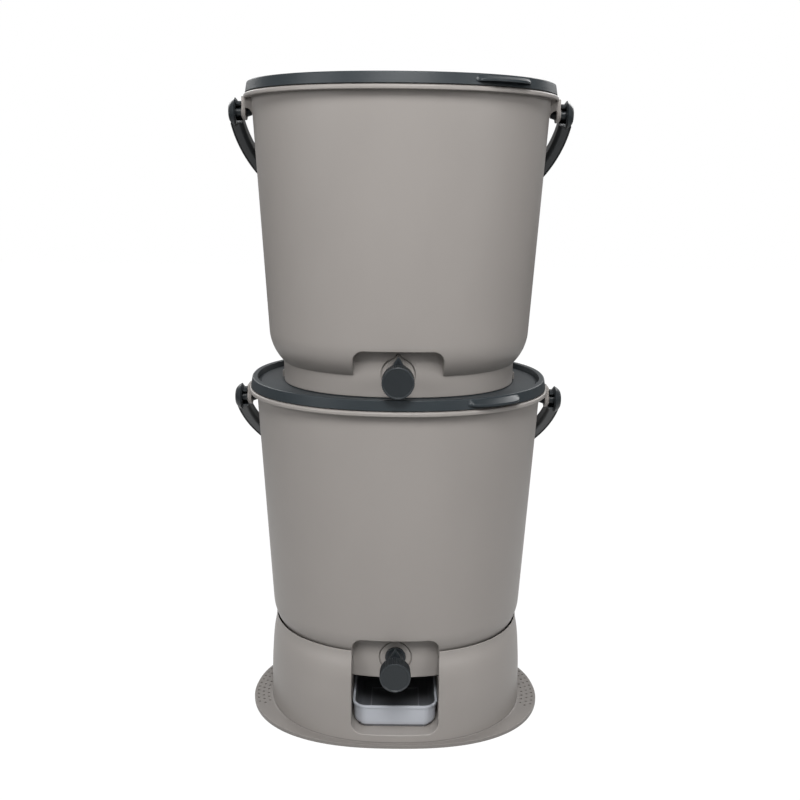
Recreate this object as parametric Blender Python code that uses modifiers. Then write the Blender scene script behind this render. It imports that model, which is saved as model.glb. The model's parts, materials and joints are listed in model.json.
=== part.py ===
# Bokashi bin: two lidded buckets with taps, stacked on a stand that holds a juice tray.
# Metres, +Z up. The origin is on the floor under the middle of the stand, and the taps face -Y.

import math

import bmesh
import bpy
from mathutils import Matrix, Vector

# Shared sizes
GAP = 0.0003  # between two pieces that touch
OVERRUN = 0.004  # how far a cutter passes the face that it cuts
WELD = 0.00001  # corners closer than this are one
AROUND = 40  # corners of every oval outline
TURN_STEPS = 16  # sides of every turned piece
SMALL_SIDES = 12  # sides of legs and small holes
BEND_STEPS = 5  # steps of a round corner
ROUND_STEPS = 22  # steps of a nearly full circle
SMOOTH_ANGLE = math.radians(35)

# Bucket. Heights are measured from the underside of its foot, and the rim line is the top
# of the collar that the lid comes down to.
BIN_HEIGHT = 0.2889
BIN_HALF_WIDTH = 0.1505  # outside of the wall at the rim line
BIN_DEPTH_SHARE = 0.901
BIN_TAPER_SHARE = 0.0616
BIN_SQUARENESS = 2.17
BIN_WALL = 0.0024
CORNER_HEIGHT = 0.050  # here the wall starts to curve in
CORNER_RADIUS = 0.044
CORNER_STEPS = 3
FOOT_HEIGHT = 0.0215
FOOT_SIDE_INSET = 0.0293  # from the wall at the rim line
FOOT_FRONT_INSET = 0.0291
FOOT_TAPER_SHARE = 0.02
FOOT_WALL = 0.0028
FLOOR = 0.0026
COLLAR_REACH = 0.0075
COLLAR_WALL = 0.0022
BEAD_HEIGHT = 0.0043
BEAD_WALL = 0.002
BEAD_EDGE = 0.0008
LIP_INSET = 0.0044  # from the outside of the collar
LIP_WALL = 0.002
LIP_HEIGHT = 0.006
LUG_REACH = 0.0026
LUG_HALF_WIDTH = 0.004
LUG_HEIGHT = 0.007
LUG_LIFT = 0.0006

# Recess for the tap, and the flat pad that the tap seats on
RECESS_HALF_WIDTH = 0.0437
RECESS_TOP = 0.047
RECESS_RADIUS = 0.0105
RECESS_DEPTH = 0.034  # from the front of the foot
CORE_RISE = 0.013  # the foot's wall carries on this far above the recess
PAD_RADIUS = 0.017
PAD_POINT = 0.0208
PAD_POINT_HALF_WIDTH = 0.005
PAD_DEPTH = 0.0012
TAP_WALL = 0.0042
TAP_BOSS_RADIUS = 0.018
TAP_HEIGHT = 0.0234

# Ears that carry the handle
EAR_STAND = 0.0026  # how far the ear stands out past the collar
EAR_HALF_WIDTH = 0.011
EAR_PLATE = 0.0036
EAR_WEB = 0.0025
EAR_TOP_DROP = 0.001
PIVOT_DROP = 0.0157  # pivot below the rim line
EAR_TAIL = 0.008
EAR_ARCH = 0.0072
EAR_ARCH_RISE = 0.0035
EAR_BOSS_RADIUS = 0.0065
EAR_BOSS_HEIGHT = 0.0012
PEG_RADIUS = 0.004

# Lid. Heights are measured from the rim line, insets from the outside of the collar.
LID_HEIGHT = 0.0112
LID_LIFT = 0.001
LID_TOP_INSET = 0.0032
LID_FOOT_INSET = 0.0016
LID_WALL = 0.0023
LID_EDGE = 0.0006
LID_RING = 0.0056
LID_STEP = 0.0008
LID_GROOVE_DEPTH = 0.001
LID_GROOVE = 0.002
LID_PANEL = 0.006
TAB_REACH = 0.0085
TAB_HALF_LENGTH = 0.034
TAB_THICKNESS = 0.0034
TAB_TURN = math.radians(-52)
TAB_STEPS = 12
SEAL_THICKNESS = 0.0022

# Handle
HANDLE_CLEARANCE = 0.032  # how far the bow reaches past the rim when it swings over
HANDLE_STAND = 0.0141  # outside of the arms past the ear
HANDLE_SQUARENESS = 2.0
HANDLE_WIDTH = 0.0126
HANDLE_DEPTH = 0.012
HANDLE_WALL = 0.0023
HANDLE_STEPS = 22
HANDLE_REST_GAP = 0.0006  # from the bucket's wall, as the bow lies on it in straight steps
LOBE_RADIUS = 0.0142
LOBE_PLATE = 0.0032
LOBE_DOME = 0.0067  # from the outside in to the lobe's widest ring
LOBE_RIM = 0.0027
LOBE_RING_RADIUS = 0.0108
LOBE_RING_WALL = 0.0018
LOBE_MOUTH = math.radians(112)  # of the ring that is open, from its top to the front
LOBE_DOME_SHARES = [(0.42, 0.02), (0.60, 0.12), (0.73, 0.30), (0.87, 0.60)]
PEG_BOSS_RADIUS = 0.0048
PEG_HEAD_RADIUS = 0.005
PEG_TIP_RADIUS = 0.0032
PEG_SPLIT = 0.0016
PEG_ROOM = 0.002
WALL_FIND_STEPS = 40

# Strainer plate on legs above the foot
STRAINER_LIFT = 0.042
STRAINER_THICKNESS = 0.0025
STRAINER_EASE = 0.001
NOTCH_EASE = 0.003
NOTCH_DEPTH = 0.0125
SLOT_BORDER = 0.008
SLOT_LENGTH = 0.022
SLOT_WIDTH = 0.003
SLOT_PITCH_X = 0.030
SLOT_PITCH_Y = 0.024
LEG_RADIUS = 0.004
LEG_SIDE_INSET = 0.0372  # from the outside of the foot
LEG_FRONT_INSET = 0.0565

# Tap. Distances run forward from the middle of the bucket, along the tap's own axis.
STEM_RADIUS = 0.008
STEM_EDGE = 0.0006
STEM_FACE = 0.0025
TAP_BORE_RADIUS = 0.005
TAP_FLANGE_RADIUS = 0.0105
TAP_FLANGE = 0.0024
TAP_TAIL = 0.0025
WASHER_RADIUS = 0.0135
WASHER_THICKNESS = 0.002
NUT_RADIUS = 0.0155
NUT_THICKNESS = 0.007
KNOB_REACH = 0.0472  # knob face in front of the pad
KNOB_LENGTH = 0.0205
KNOB_RADIUS = 0.0155
KNOB_GRIP = 0.015
KNOB_NECK = 0.0012
KNOB_NECK_RADIUS = 0.0112
KNOB_EDGE = 0.0008
KNOB_FACE = 0.0027
POINTER_TIP = 0.0222
POINTER_HALF_WIDTH = 0.0076
POINTER_SINK = 0.0015
POINTER_THICKNESS = 0.0034
O_RING_RADIUS = 0.00065
O_RING_SETBACK = 0.004
O_RING_SIDES = 6
OUTLET_RADIUS = 0.003
OUTLET_SETBACK = 0.0095

# Stand
SHELF_HEIGHT = 0.0638
SHELF_THICKNESS = 0.0025
SHELF_UNDERLAP = 0.0125  # how far the shelf reaches in under the foot
STAND_WALL = 0.0024
STAND_SIDE_INSET = 0.0122  # from the bucket's wall at the rim line
STAND_FRONT_INSET = 0.0046
STAND_SQUARENESS = 2.3
STAND_LIP_RISE = 0.0336  # top of the stand above the shelf
STAND_LIP_GAP = 0.0006
STAND_LIP_EDGE = 0.0008
STAND_LIP_DROP = 0.012
FLANGE_SIDE_REACH = 0.0204  # from the stand's wall
FLANGE_FRONT_REACH = 0.0034
FLANGE_SQUARENESS = 2.46
FLANGE_THICKNESS = 0.004
FLANGE_EDGE = 0.001
FLANGE_FADE_START = 0.034  # in front of the middle, where it starts to narrow
FLANGE_FADE_LENGTH = 0.103  # from there to where it has narrowed all it can
FLANGE_LEAST_SHARE = 0.12
BAY_EASE = 0.0007  # wider than the bucket's recess
BAY_FLOOR = 0.013
BAY_RADIUS = 0.011
# How far up the wall, and how far in towards the lip, the stand's side has come
STAND_CURVE_SHARES = [(0.42, 0.06), (0.63, 0.25), (0.74, 0.38), (0.835, 0.58), (0.94, 0.93)]

# Juice tray
TRAY_EASE = 0.0006  # between the tray and each side of the bay
TRAY_LENGTH = 0.1245
TRAY_HEIGHT = 0.0243
TRAY_WALL = 0.0016
TRAY_RADIUS = 0.015
TRAY_SETBACK = 0.014  # behind the front of the stand
TRAY_LIP = 0.0009
TRAY_LIP_HEIGHT = 0.0028
TRAY_DRAFT = 0.0006
TRAY_EDGE = 0.010
TRAY_EDGE_STEPS = 3
TRAY_PAD = 0.052
TRAY_PAD_RISE = 0.0012
TRAY_PAD_SETBACK = 0.017

# Heights and faces that follow from the sizes above
BIN_HALF_DEPTH = BIN_HALF_WIDTH * BIN_DEPTH_SHARE
RIM_HALF_WIDTH = BIN_HALF_WIDTH + COLLAR_REACH
RIM_HALF_DEPTH = BIN_HALF_DEPTH + COLLAR_REACH
FOOT_HALF_WIDTH = BIN_HALF_WIDTH - FOOT_SIDE_INSET
FOOT_HALF_DEPTH = BIN_HALF_DEPTH - FOOT_FRONT_INSET
LEG_SPREAD_X = FOOT_HALF_WIDTH - LEG_SIDE_INSET
LEG_SPREAD_Y = FOOT_HALF_DEPTH - LEG_FRONT_INSET
LOWER_BIN_BASE = SHELF_HEIGHT + GAP
UPPER_BIN_BASE = LOWER_BIN_BASE + BIN_HEIGHT + LID_PANEL + GAP
PIVOT_HEIGHT = BIN_HEIGHT - PIVOT_DROP
PIVOT_WALL = BIN_HALF_WIDTH - BIN_TAPER_SHARE * PIVOT_DROP  # outside of the wall there
EAR_FACE = RIM_HALF_WIDTH + EAR_STAND
HANDLE_HALF_WIDTH = EAR_FACE + HANDLE_STAND
HANDLE_REACH = RIM_HALF_WIDTH + HANDLE_CLEARANCE
PEG_HOLE_RADIUS = PEG_RADIUS + GAP
CORE_TOP = RECESS_TOP + CORE_RISE
PAD_FACE = FOOT_HALF_DEPTH - PAD_DEPTH
WALL_FACE = PAD_FACE - TAP_WALL
KNOB_FRONT = PAD_FACE + KNOB_REACH
KNOB_BACK = KNOB_FRONT - KNOB_LENGTH
KNOB_BORE_RADIUS = STEM_RADIUS + GAP
OUTLET_FORWARD = KNOB_BACK + OUTLET_SETBACK
STAND_TOP = SHELF_HEIGHT + STAND_LIP_RISE
STAND_HALF_WIDTH = BIN_HALF_WIDTH - STAND_SIDE_INSET
STAND_HALF_DEPTH = BIN_HALF_DEPTH - STAND_FRONT_INSET
FLANGE_HALF_WIDTH = STAND_HALF_WIDTH + FLANGE_SIDE_REACH
FLANGE_HALF_DEPTH = STAND_HALF_DEPTH + FLANGE_FRONT_REACH
BAY_HALF_WIDTH = RECESS_HALF_WIDTH + BAY_EASE
TRAY_HALF_WIDTH = BAY_HALF_WIDTH - TRAY_EASE
TRAY_FRONT = STAND_HALF_DEPTH - TRAY_SETBACK
TRAY_BACK = TRAY_LENGTH - TRAY_FRONT
TRAY_BASE = BAY_FLOOR + GAP

UPRIGHT = (math.pi / 2, 0, 0)  # stands a flat outline up across Y, and points an axis forward
SIDEWAYS = (math.pi / 2, 0, math.pi / 2)  # stands a flat outline up across X


# Scene and materials


def clear_scene():
    for old in list(bpy.data.objects):
        bpy.data.objects.remove(old, do_unlink=True)


def new_collection(name):
    made = bpy.data.collections.new(name)
    bpy.context.scene.collection.children.link(made)
    return made


def plastic(name, colour, roughness):
    made = bpy.data.materials.new(name)
    made.use_nodes = True
    shader = made.node_tree.nodes["Principled BSDF"]
    shader.inputs["Base Color"].default_value = (*colour, 1.0)
    shader.inputs["Roughness"].default_value = roughness
    shader.inputs["Metallic"].default_value = 0.0
    return made


clear_scene()
PARTS = new_collection("bokashi_bin")
CUTTERS = new_collection("cutters")


# Outlines


def ring(half_width, half_depth, height, squareness=BIN_SQUARENESS):
    """An oval between an ellipse (squareness 2) and a rectangle, at a height."""
    points = []
    for step in range(AROUND):
        turn = 2 * math.pi * step / AROUND
        across = math.copysign(abs(math.cos(turn)) ** (2 / squareness), math.cos(turn))
        along = math.copysign(abs(math.sin(turn)) ** (2 / squareness), math.sin(turn))
        points.append(Vector((half_width * across, half_depth * along, height)))
    return points


def arc(centre, radius, start, end, steps):
    """Points on an arc, its ends included, with the angles in degrees."""
    points = []
    for step in range(steps + 1):
        turn = math.radians(start + (end - start) * step / steps)
        points.append((centre[0] + radius * math.cos(turn), centre[1] + radius * math.sin(turn)))
    return points


def rounded_box(half_width, front, back, radius, height):
    """A rectangle with round corners, at a height."""
    points = arc((half_width - radius, back - radius), radius, 0, 90, BEND_STEPS)
    points += arc((radius - half_width, back - radius), radius, 90, 180, BEND_STEPS)
    points += arc((radius - half_width, front + radius), radius, 180, 270, BEND_STEPS)
    points += arc((half_width - radius, front + radius), radius, 270, 360, BEND_STEPS)
    return [Vector((x, y, height)) for x, y in points]


# Solids


def object_from(data, name, group=CUTTERS):
    made = bpy.data.objects.new(name, data)
    group.objects.link(made)
    if group == CUTTERS:
        made.hide_render = True
        made.display_type = "WIRE"
    return made


def mesh_from(shape, name):
    data = bpy.data.meshes.new(name)
    shape.to_mesh(data)
    shape.free()
    return data


def loft(name, outlines, around=False):
    """A skin from outline to outline, with end faces, or joined round into a ring."""
    skin = bmesh.new()
    rows = [[skin.verts.new(point) for point in outline] for outline in outlines]
    pairs = list(zip(rows, rows[1:]))
    if around:
        pairs.append((rows[-1], rows[0]))
    else:
        skin.faces.new(rows[0])
        skin.faces.new(rows[-1])
    for one, other in pairs:
        for here in range(len(one)):
            after = (here + 1) % len(one)
            skin.faces.new((one[here], one[after], other[after], other[here]))
    bmesh.ops.recalc_face_normals(skin, faces=skin.faces)
    return object_from(mesh_from(skin, name), name)


def evaluated_mesh(source):
    """The object's mesh with its modifiers applied, in its own frame."""
    bpy.context.view_layer.update()
    graph = bpy.context.evaluated_depsgraph_get()
    return bpy.data.meshes.new_from_object(source.evaluated_get(graph))


def plate(name, points, thickness, middle=(0, 0, 0), turn=(0, 0, 0)):
    """A flat outline with a thickness: a filled 2D curve, turned into a closed mesh."""
    curve = bpy.data.curves.new(name, "CURVE")
    curve.dimensions = "2D"
    curve.fill_mode = "BOTH"
    curve.extrude = thickness / 2
    line = curve.splines.new("POLY")
    line.points.add(len(points) - 1)
    for point, (x, y) in zip(line.points, points):
        point.co = (x, y, 0, 1)
    line.use_cyclic_u = True
    outline = object_from(curve, name)
    data = evaluated_mesh(outline)
    bpy.data.objects.remove(outline)
    skin = bmesh.new()
    skin.from_mesh(data)
    bmesh.ops.remove_doubles(skin, verts=skin.verts, dist=WELD)
    bmesh.ops.recalc_face_normals(skin, faces=skin.faces)
    made = object_from(mesh_from(skin, name), name)
    made.location = middle
    made.rotation_euler = turn
    return made


def across_y(name, points, front, back):
    """A plate whose upright outline (X, Z) runs along Y from front to back."""
    return plate(name, points, back - front, (0, (front + back) / 2, 0), UPRIGHT)


def across_x(name, points, one, other):
    """A plate whose upright outline (Y, Z) runs along X between two places."""
    return plate(name, points, abs(one - other), ((one + other) / 2, 0, 0), SIDEWAYS)


def block(name, one, other):
    """A box between two opposite corners."""
    shape = bmesh.new()
    bmesh.ops.create_cube(shape, size=1.0)
    size = [abs(here - there) for here, there in zip(one, other)]
    bmesh.ops.scale(shape, vec=size, verts=shape.verts)
    bmesh.ops.translate(shape, vec=(Vector(one) + Vector(other)) / 2, verts=shape.verts)
    return object_from(mesh_from(shape, name), name)


def cylinder(name, radius, start, end, sides=TURN_STEPS):
    """A cylinder along Z, from one height to another."""
    shape = bmesh.new()
    bmesh.ops.create_cone(
        shape,
        cap_ends=True,
        segments=sides,
        radius1=radius,
        radius2=radius,
        depth=end - start,
    )
    bmesh.ops.translate(shape, vec=(0, 0, (start + end) / 2), verts=shape.verts)
    return object_from(mesh_from(shape, name), name)


def turned(name, profile, closed=False):
    """A profile (radius, height) turned round Z with a Screw modifier."""
    corners = [Vector((radius, 0, height)) for radius, height in profile]
    links = [(here, here + 1) for here in range(len(corners) - 1)]
    if closed:
        links.append((len(corners) - 1, 0))
    data = bpy.data.meshes.new(name)
    data.from_pydata(corners, links, [])
    made = object_from(data, name)
    screw = made.modifiers.new("Turn", "SCREW")
    screw.steps = TURN_STEPS
    screw.render_steps = TURN_STEPS
    screw.use_merge_vertices = True
    screw.merge_threshold = WELD
    return made


def combine(target, tool, operation):
    change = target.modifiers.new(tool.name, "BOOLEAN")
    change.operation = operation
    change.object = tool


def cut(target, *tools):
    for tool in tools:
        combine(target, tool, "DIFFERENCE")


def add(target, *tools):
    for tool in tools:
        combine(target, tool, "UNION")


def finished(draft):
    """The draft's mesh with its modifiers applied, shaded and ready to place."""
    data = evaluated_mesh(draft)
    data.name = draft.name
    data.shade_smooth()
    data.set_sharp_from_angle(angle=SMOOTH_ANGLE)
    return data


def put(name, data, material, at=(0, 0, 0), turn=(0, 0, 0)):
    """Put a piece in the model, with its origin where it turns or is carried."""
    made = object_from(data, name, PARTS)
    data.materials.clear()
    data.materials.append(material)
    made.location = at
    made.rotation_euler = turn


# Bucket


def wall_ring(height, inset):
    """The bucket's tapering wall at a height, moved inward by the inset."""
    half_width = BIN_HALF_WIDTH - BIN_TAPER_SHARE * (BIN_HEIGHT - height)
    return ring(half_width - inset, half_width * BIN_DEPTH_SHARE - inset, height)


def corner_inset(height, depth):
    """How far the curve at the bottom has drawn in from the wall, at a depth inside it."""
    radius = CORNER_RADIUS - depth
    return CORNER_RADIUS - math.sqrt(radius**2 - (CORNER_HEIGHT - height) ** 2)


def corner_rings(depth, end_height):
    """The wall's curve into the underside, from its low end up."""
    last = math.asin((CORNER_HEIGHT - end_height) / (CORNER_RADIUS - depth))
    rings = []
    for step in range(CORNER_STEPS + 1):
        turn = last * (1 - step / CORNER_STEPS)
        height = CORNER_HEIGHT - (CORNER_RADIUS - depth) * math.sin(turn)
        rings.append(wall_ring(height, corner_inset(height, depth)))
    return rings


def rim_ring(inset, rise):
    """An outline that follows the collar, moved inward, at a height from the rim line."""
    return ring(RIM_HALF_WIDTH - inset, RIM_HALF_DEPTH - inset, BIN_HEIGHT + rise)


def foot_ring(height, inset):
    spread = FOOT_TAPER_SHARE * height - inset
    return ring(FOOT_HALF_WIDTH + spread, FOOT_HALF_DEPTH + spread, height)


def recess_prism(name, grow):
    """The tap's recess seen from the front, with round top corners and no bottom."""
    half_width = RECESS_HALF_WIDTH + grow
    top = RECESS_TOP + grow
    radius = RECESS_RADIUS + grow
    bottom = FOOT_HEIGHT - OVERRUN
    points = [(-half_width, bottom), (half_width, bottom)]
    points += arc((half_width - radius, top - radius), radius, 0, 90, BEND_STEPS)
    points += arc((radius - half_width, top - radius), radius, 90, 180, BEND_STEPS)
    return across_y(name, points, -RIM_HALF_DEPTH - OVERRUN, RECESS_DEPTH - FOOT_HALF_DEPTH)


def pad_prism():
    """The tap's round seat, with a small point at its top."""
    side = math.degrees(math.asin(PAD_POINT_HALF_WIDTH / PAD_RADIUS))
    points = [(0, TAP_HEIGHT + PAD_POINT)]
    points += arc((0, TAP_HEIGHT), PAD_RADIUS, 90 + side, 450 - side, ROUND_STEPS)
    return across_y("pad", points, -FOOT_HALF_DEPTH - OVERRUN, -PAD_FACE)


def on_tap_axis(tool):
    tool.rotation_euler = UPRIGHT
    tool.location = (0, 0, TAP_HEIGHT)
    return tool


def on_pivot(tool, side):
    """Point a solid that runs along Z outward along the handle's axis."""
    tool.rotation_euler = (0, side * math.pi / 2, 0)
    return tool


def ear(side):
    """A plate that stands off the wall on two webs under the collar, and carries a peg."""
    name = "ear_right" if side > 0 else "ear_left"
    inside = side * (PIVOT_WALL - BIN_WALL)
    far_inside = side * (PIVOT_WALL - BIN_WALL - OVERRUN)
    plate_inside = side * (EAR_FACE - EAR_PLATE)
    tail_middle = PIVOT_HEIGHT - EAR_TAIL + EAR_HALF_WIDTH
    outline = [(EAR_HALF_WIDTH, BIN_HEIGHT - EAR_TOP_DROP)]
    outline += [(-EAR_HALF_WIDTH, BIN_HEIGHT - EAR_TOP_DROP)]
    outline += arc((0, tail_middle), EAR_HALF_WIDTH, 180, 360, 2 * BEND_STEPS)
    made = across_x(name, outline, inside, side * EAR_FACE)

    low = PIVOT_HEIGHT - EAR_HALF_WIDTH - OVERRUN
    room_half_width = EAR_HALF_WIDTH - EAR_WEB
    room_top = BIN_HEIGHT - BEAD_HEIGHT
    room = block(
        name + "_room",
        (far_inside, -room_half_width, low),
        (plate_inside, room_half_width, room_top),
    )
    arch_middle = PIVOT_HEIGHT + EAR_ARCH_RISE - EAR_ARCH
    arch = [(side * x, z) for x, z in arc((abs(plate_inside), arch_middle), EAR_ARCH, 90, 180, BEND_STEPS)]
    arch += [(far_inside, arch_middle), (far_inside, low), (plate_inside, low)]
    reach = EAR_HALF_WIDTH + OVERRUN
    cut(made, room, across_y(name + "_arch", arch, -reach, reach))

    boss = cylinder(name + "_boss", EAR_BOSS_RADIUS, -EAR_PLATE / 2, EAR_BOSS_HEIGHT)
    hole_start = -EAR_PLATE - EAR_BOSS_HEIGHT
    hole = cylinder(name + "_hole", PEG_HOLE_RADIUS, hole_start, EAR_BOSS_HEIGHT + OVERRUN)
    for tool in (boss, hole):
        on_pivot(tool, side).location = (side * EAR_FACE, 0, PIVOT_HEIGHT)
    add(made, boss)
    cut(made, hole)
    return made


def lug(side):
    """A small block at the side of the foot."""
    return block(
        "lug_right" if side > 0 else "lug_left",
        (side * (FOOT_HALF_WIDTH - FOOT_WALL / 2), -LUG_HALF_WIDTH, LUG_LIFT),
        (side * (FOOT_HALF_WIDTH + LUG_REACH), LUG_HALF_WIDTH, LUG_LIFT + LUG_HEIGHT),
    )


def bucket():
    """Walls, foot, recess, ears, collar and lip in one moulding."""
    rings = corner_rings(0, FOOT_HEIGHT) + [
        wall_ring(BIN_HEIGHT - COLLAR_WALL, 0),
        rim_ring(BEAD_WALL, -COLLAR_WALL),
        rim_ring(BEAD_WALL, -BEAD_HEIGHT),
        rim_ring(0, -BEAD_HEIGHT),
        rim_ring(0, -BEAD_EDGE),
        rim_ring(BEAD_EDGE, 0),
        rim_ring(LIP_INSET, 0),
        rim_ring(LIP_INSET, LIP_HEIGHT),
    ]
    made = loft("bucket", rings)
    cut(made, recess_prism("recess", 0))
    foot = loft("foot", [foot_ring(0, 0), foot_ring(CORE_TOP, 0)])
    add(made, foot, ear(-1), ear(1), lug(-1), lug(1))
    cut(made, pad_prism())

    hollow = corner_rings(BIN_WALL, FOOT_HEIGHT + BIN_WALL) + [
        wall_ring(BIN_HEIGHT, BIN_WALL),
        rim_ring(LIP_INSET + LIP_WALL, 0),
        rim_ring(LIP_INSET + LIP_WALL, LIP_HEIGHT + OVERRUN),
    ]
    inside = loft("inside", hollow)
    cut(inside, recess_prism("recess_wall", BIN_WALL))
    add(inside, loft("sump", [foot_ring(FLOOR, FOOT_WALL), foot_ring(CORE_TOP, FOOT_WALL)]))
    cut(inside, on_tap_axis(cylinder("tap_boss", TAP_BOSS_RADIUS, WALL_FACE, PAD_FACE)))
    cut(made, inside)
    hole = cylinder("tap_hole", STEM_RADIUS + GAP, WALL_FACE - OVERRUN, PAD_FACE + OVERRUN)
    cut(made, on_tap_axis(hole))
    return finished(made)


# Lid


def rim_edge(turn, inset):
    """Distance from the middle to the collar's outline in one direction."""
    across = abs(math.cos(turn) / (RIM_HALF_WIDTH - inset)) ** BIN_SQUARENESS
    along = abs(math.sin(turn) / (RIM_HALF_DEPTH - inset)) ** BIN_SQUARENESS
    return (across + along) ** (-1 / BIN_SQUARENESS)


def tab():
    """The thumb tab: a crescent that fades into the lid's side at both ends."""
    outer = []
    inner = []
    for step in range(TAB_STEPS + 1):
        share = 2 * step / TAB_STEPS - 1
        turn = TAB_TURN + share * TAB_HALF_LENGTH / RIM_HALF_DEPTH
        face = rim_edge(turn, LID_FOOT_INSET)
        bulge = TAB_REACH * (1 - abs(share) ** 3) ** 2
        for side, reach in ((outer, bulge - LID_WALL / 4), (inner, -LID_WALL / 2)):
            side.append(((face + reach) * math.cos(turn), (face + reach) * math.sin(turn)))
    middle = BIN_HEIGHT + LID_LIFT + GAP + TAB_THICKNESS / 2
    return plate("tab", outer + inner[::-1], TAB_THICKNESS, (0, 0, middle))


def lid():
    """A cap with a flat ring, a sunk panel, and a skirt that plugs into the bucket's lip."""
    ring_inset = LID_TOP_INSET + LID_RING
    groove_inset = ring_inset + LID_STEP
    panel_inset = groove_inset + LID_GROOVE + LID_STEP
    groove = LID_PANEL - LID_GROOVE_DEPTH
    skirt_inset = LIP_INSET + LIP_WALL + GAP
    under_ring = LIP_HEIGHT + SEAL_THICKNESS + 2 * GAP
    rings = [
        rim_ring(panel_inset, LID_PANEL),
        rim_ring(groove_inset + LID_GROOVE, groove),
        rim_ring(groove_inset, groove),
        rim_ring(ring_inset, LID_HEIGHT),
        rim_ring(LID_TOP_INSET + LID_EDGE, LID_HEIGHT),
        rim_ring(LID_TOP_INSET, LID_HEIGHT - LID_EDGE),
        rim_ring(LID_FOOT_INSET, LID_LIFT),
        rim_ring(LIP_INSET - GAP, LID_LIFT),
        rim_ring(LIP_INSET - GAP, under_ring),
        rim_ring(skirt_inset, under_ring),
        rim_ring(skirt_inset, LID_LIFT),
        rim_ring(ring_inset, LID_LIFT),
        rim_ring(groove_inset, LID_PANEL - LID_WALL),
    ]
    made = loft("lid", rings)
    add(made, tab())
    return finished(made)


def lid_seal():
    """A flat rubber ring that lies on the bucket's lip."""
    low = LIP_HEIGHT + GAP
    high = low + SEAL_THICKNESS
    outer = LIP_INSET
    inner = LIP_INSET + LIP_WALL
    rings = [rim_ring(outer, high), rim_ring(outer, low), rim_ring(inner, low), rim_ring(inner, high)]
    return finished(loft("lid_seal", rings, around=True))


# Handle


def clear_of_wall(point):
    """Whether a point, measured from the pivot, is outside the bucket's wall."""
    half_width = PIVOT_WALL + BIN_TAPER_SHARE * point.z
    across = abs(point.x) / (half_width + HANDLE_REST_GAP)
    along = abs(point.y) / (half_width * BIN_DEPTH_SHARE + HANDLE_REST_GAP)
    return across**BIN_SQUARENESS + along**BIN_SQUARENESS > 1


def handle_lean():
    """The turn from straight down at which the bow comes to rest on the back of the bucket."""
    inner = [section[corner] for section in bow_sections() for corner in (2, 3)]
    low = 0.0
    high = math.pi / 2
    for _ in range(WALL_FIND_STEPS):
        lean = (low + high) / 2
        turn = Matrix.Rotation(lean, 3, "X")
        if all(clear_of_wall(turn @ point) for point in inner):
            high = lean
        else:
            low = lean
    return high


def bow_sections():
    """The channel section at each step along the bow, which hangs straight down."""
    half = HANDLE_DEPTH / 2
    floor = half - HANDLE_WALL
    inner_wall = HANDLE_WIDTH - HANDLE_WALL
    channel = [
        (0, half),
        (0, -half),
        (HANDLE_WIDTH, -half),
        (HANDLE_WIDTH, half),
        (inner_wall, half),
        (inner_wall, -floor),
        (HANDLE_WALL, -floor),
        (HANDLE_WALL, half),
    ]
    start = math.asin((LOBE_RING_RADIUS / HANDLE_REACH) ** (HANDLE_SQUARENESS / 2))
    sections = []
    for step in range(HANDLE_STEPS + 1):
        turn = start + (math.pi - 2 * start) * step / HANDLE_STEPS
        across = math.copysign(abs(math.cos(turn)) ** (2 / HANDLE_SQUARENESS), math.cos(turn))
        down = math.sin(turn) ** (2 / HANDLE_SQUARENESS)
        steep = abs(across) ** (HANDLE_SQUARENESS - 1)
        inward = Vector((
            -math.copysign(steep, across) / HANDLE_HALF_WIDTH,
            0,
            down ** (HANDLE_SQUARENESS - 1) / HANDLE_REACH,
        )).normalized()
        outside = Vector((HANDLE_HALF_WIDTH * across, 0, -HANDLE_REACH * down))
        sections.append([outside + inward * deep + Vector((0, y, 0)) for deep, y in channel])
    return sections


def lobe(side):
    """The handle's round end, with a split peg that snaps through the ear."""
    name = "lobe_right" if side > 0 else "lobe_left"
    face = HANDLE_HALF_WIDTH + GAP
    back = face - LOBE_PLATE
    boss_end = EAR_FACE + EAR_BOSS_HEIGHT + GAP
    head_start = EAR_FACE - EAR_PLATE - GAP
    tip = PIVOT_WALL + PEG_ROOM
    hollow_radius = LOBE_RING_RADIUS - LOBE_RING_WALL
    rim = face - LOBE_DOME
    dome = [(LOBE_RADIUS * out, face - LOBE_DOME * down) for out, down in LOBE_DOME_SHARES]
    profile = [
        (0, face),
        *dome,
        (LOBE_RADIUS, rim),
        (LOBE_RING_RADIUS, rim - LOBE_RIM),
        (LOBE_RING_RADIUS, boss_end),
        (hollow_radius, boss_end),
        (hollow_radius, back),
        (PEG_BOSS_RADIUS, back),
        (PEG_BOSS_RADIUS, boss_end),
        (PEG_RADIUS, boss_end),
        (PEG_RADIUS, head_start),
        (PEG_HEAD_RADIUS, head_start),
        (PEG_TIP_RADIUS, tip),
        (0, tip),
    ]
    made = on_pivot(turned(name, profile), side)
    split = block(
        name + "_split",
        (side * (tip - OVERRUN), -PEG_SPLIT / 2, -LOBE_RADIUS),
        (side * (boss_end - EAR_BOSS_HEIGHT), PEG_SPLIT / 2, LOBE_RADIUS),
    )
    mouth = [(0, 0)]
    mouth += arc((0, 0), 2 * LOBE_RADIUS, 90, 90 + math.degrees(LOBE_MOUTH), BEND_STEPS)
    mouth_end = rim - LOBE_RIM / 2
    mouth_tool = across_x(name + "_mouth", mouth, side * (boss_end - OVERRUN), side * mouth_end)
    core = cylinder(name + "_core", hollow_radius - GAP, boss_end - 2 * OVERRUN, face)
    cut(mouth_tool, on_pivot(core, side))
    cut(made, split, mouth_tool)
    return made


def handle():
    """A bow of channel section that turns on a peg at each end."""
    made = loft("handle", bow_sections())
    add(made, lobe(-1), lobe(1))
    return finished(made)


# Strainer


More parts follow.
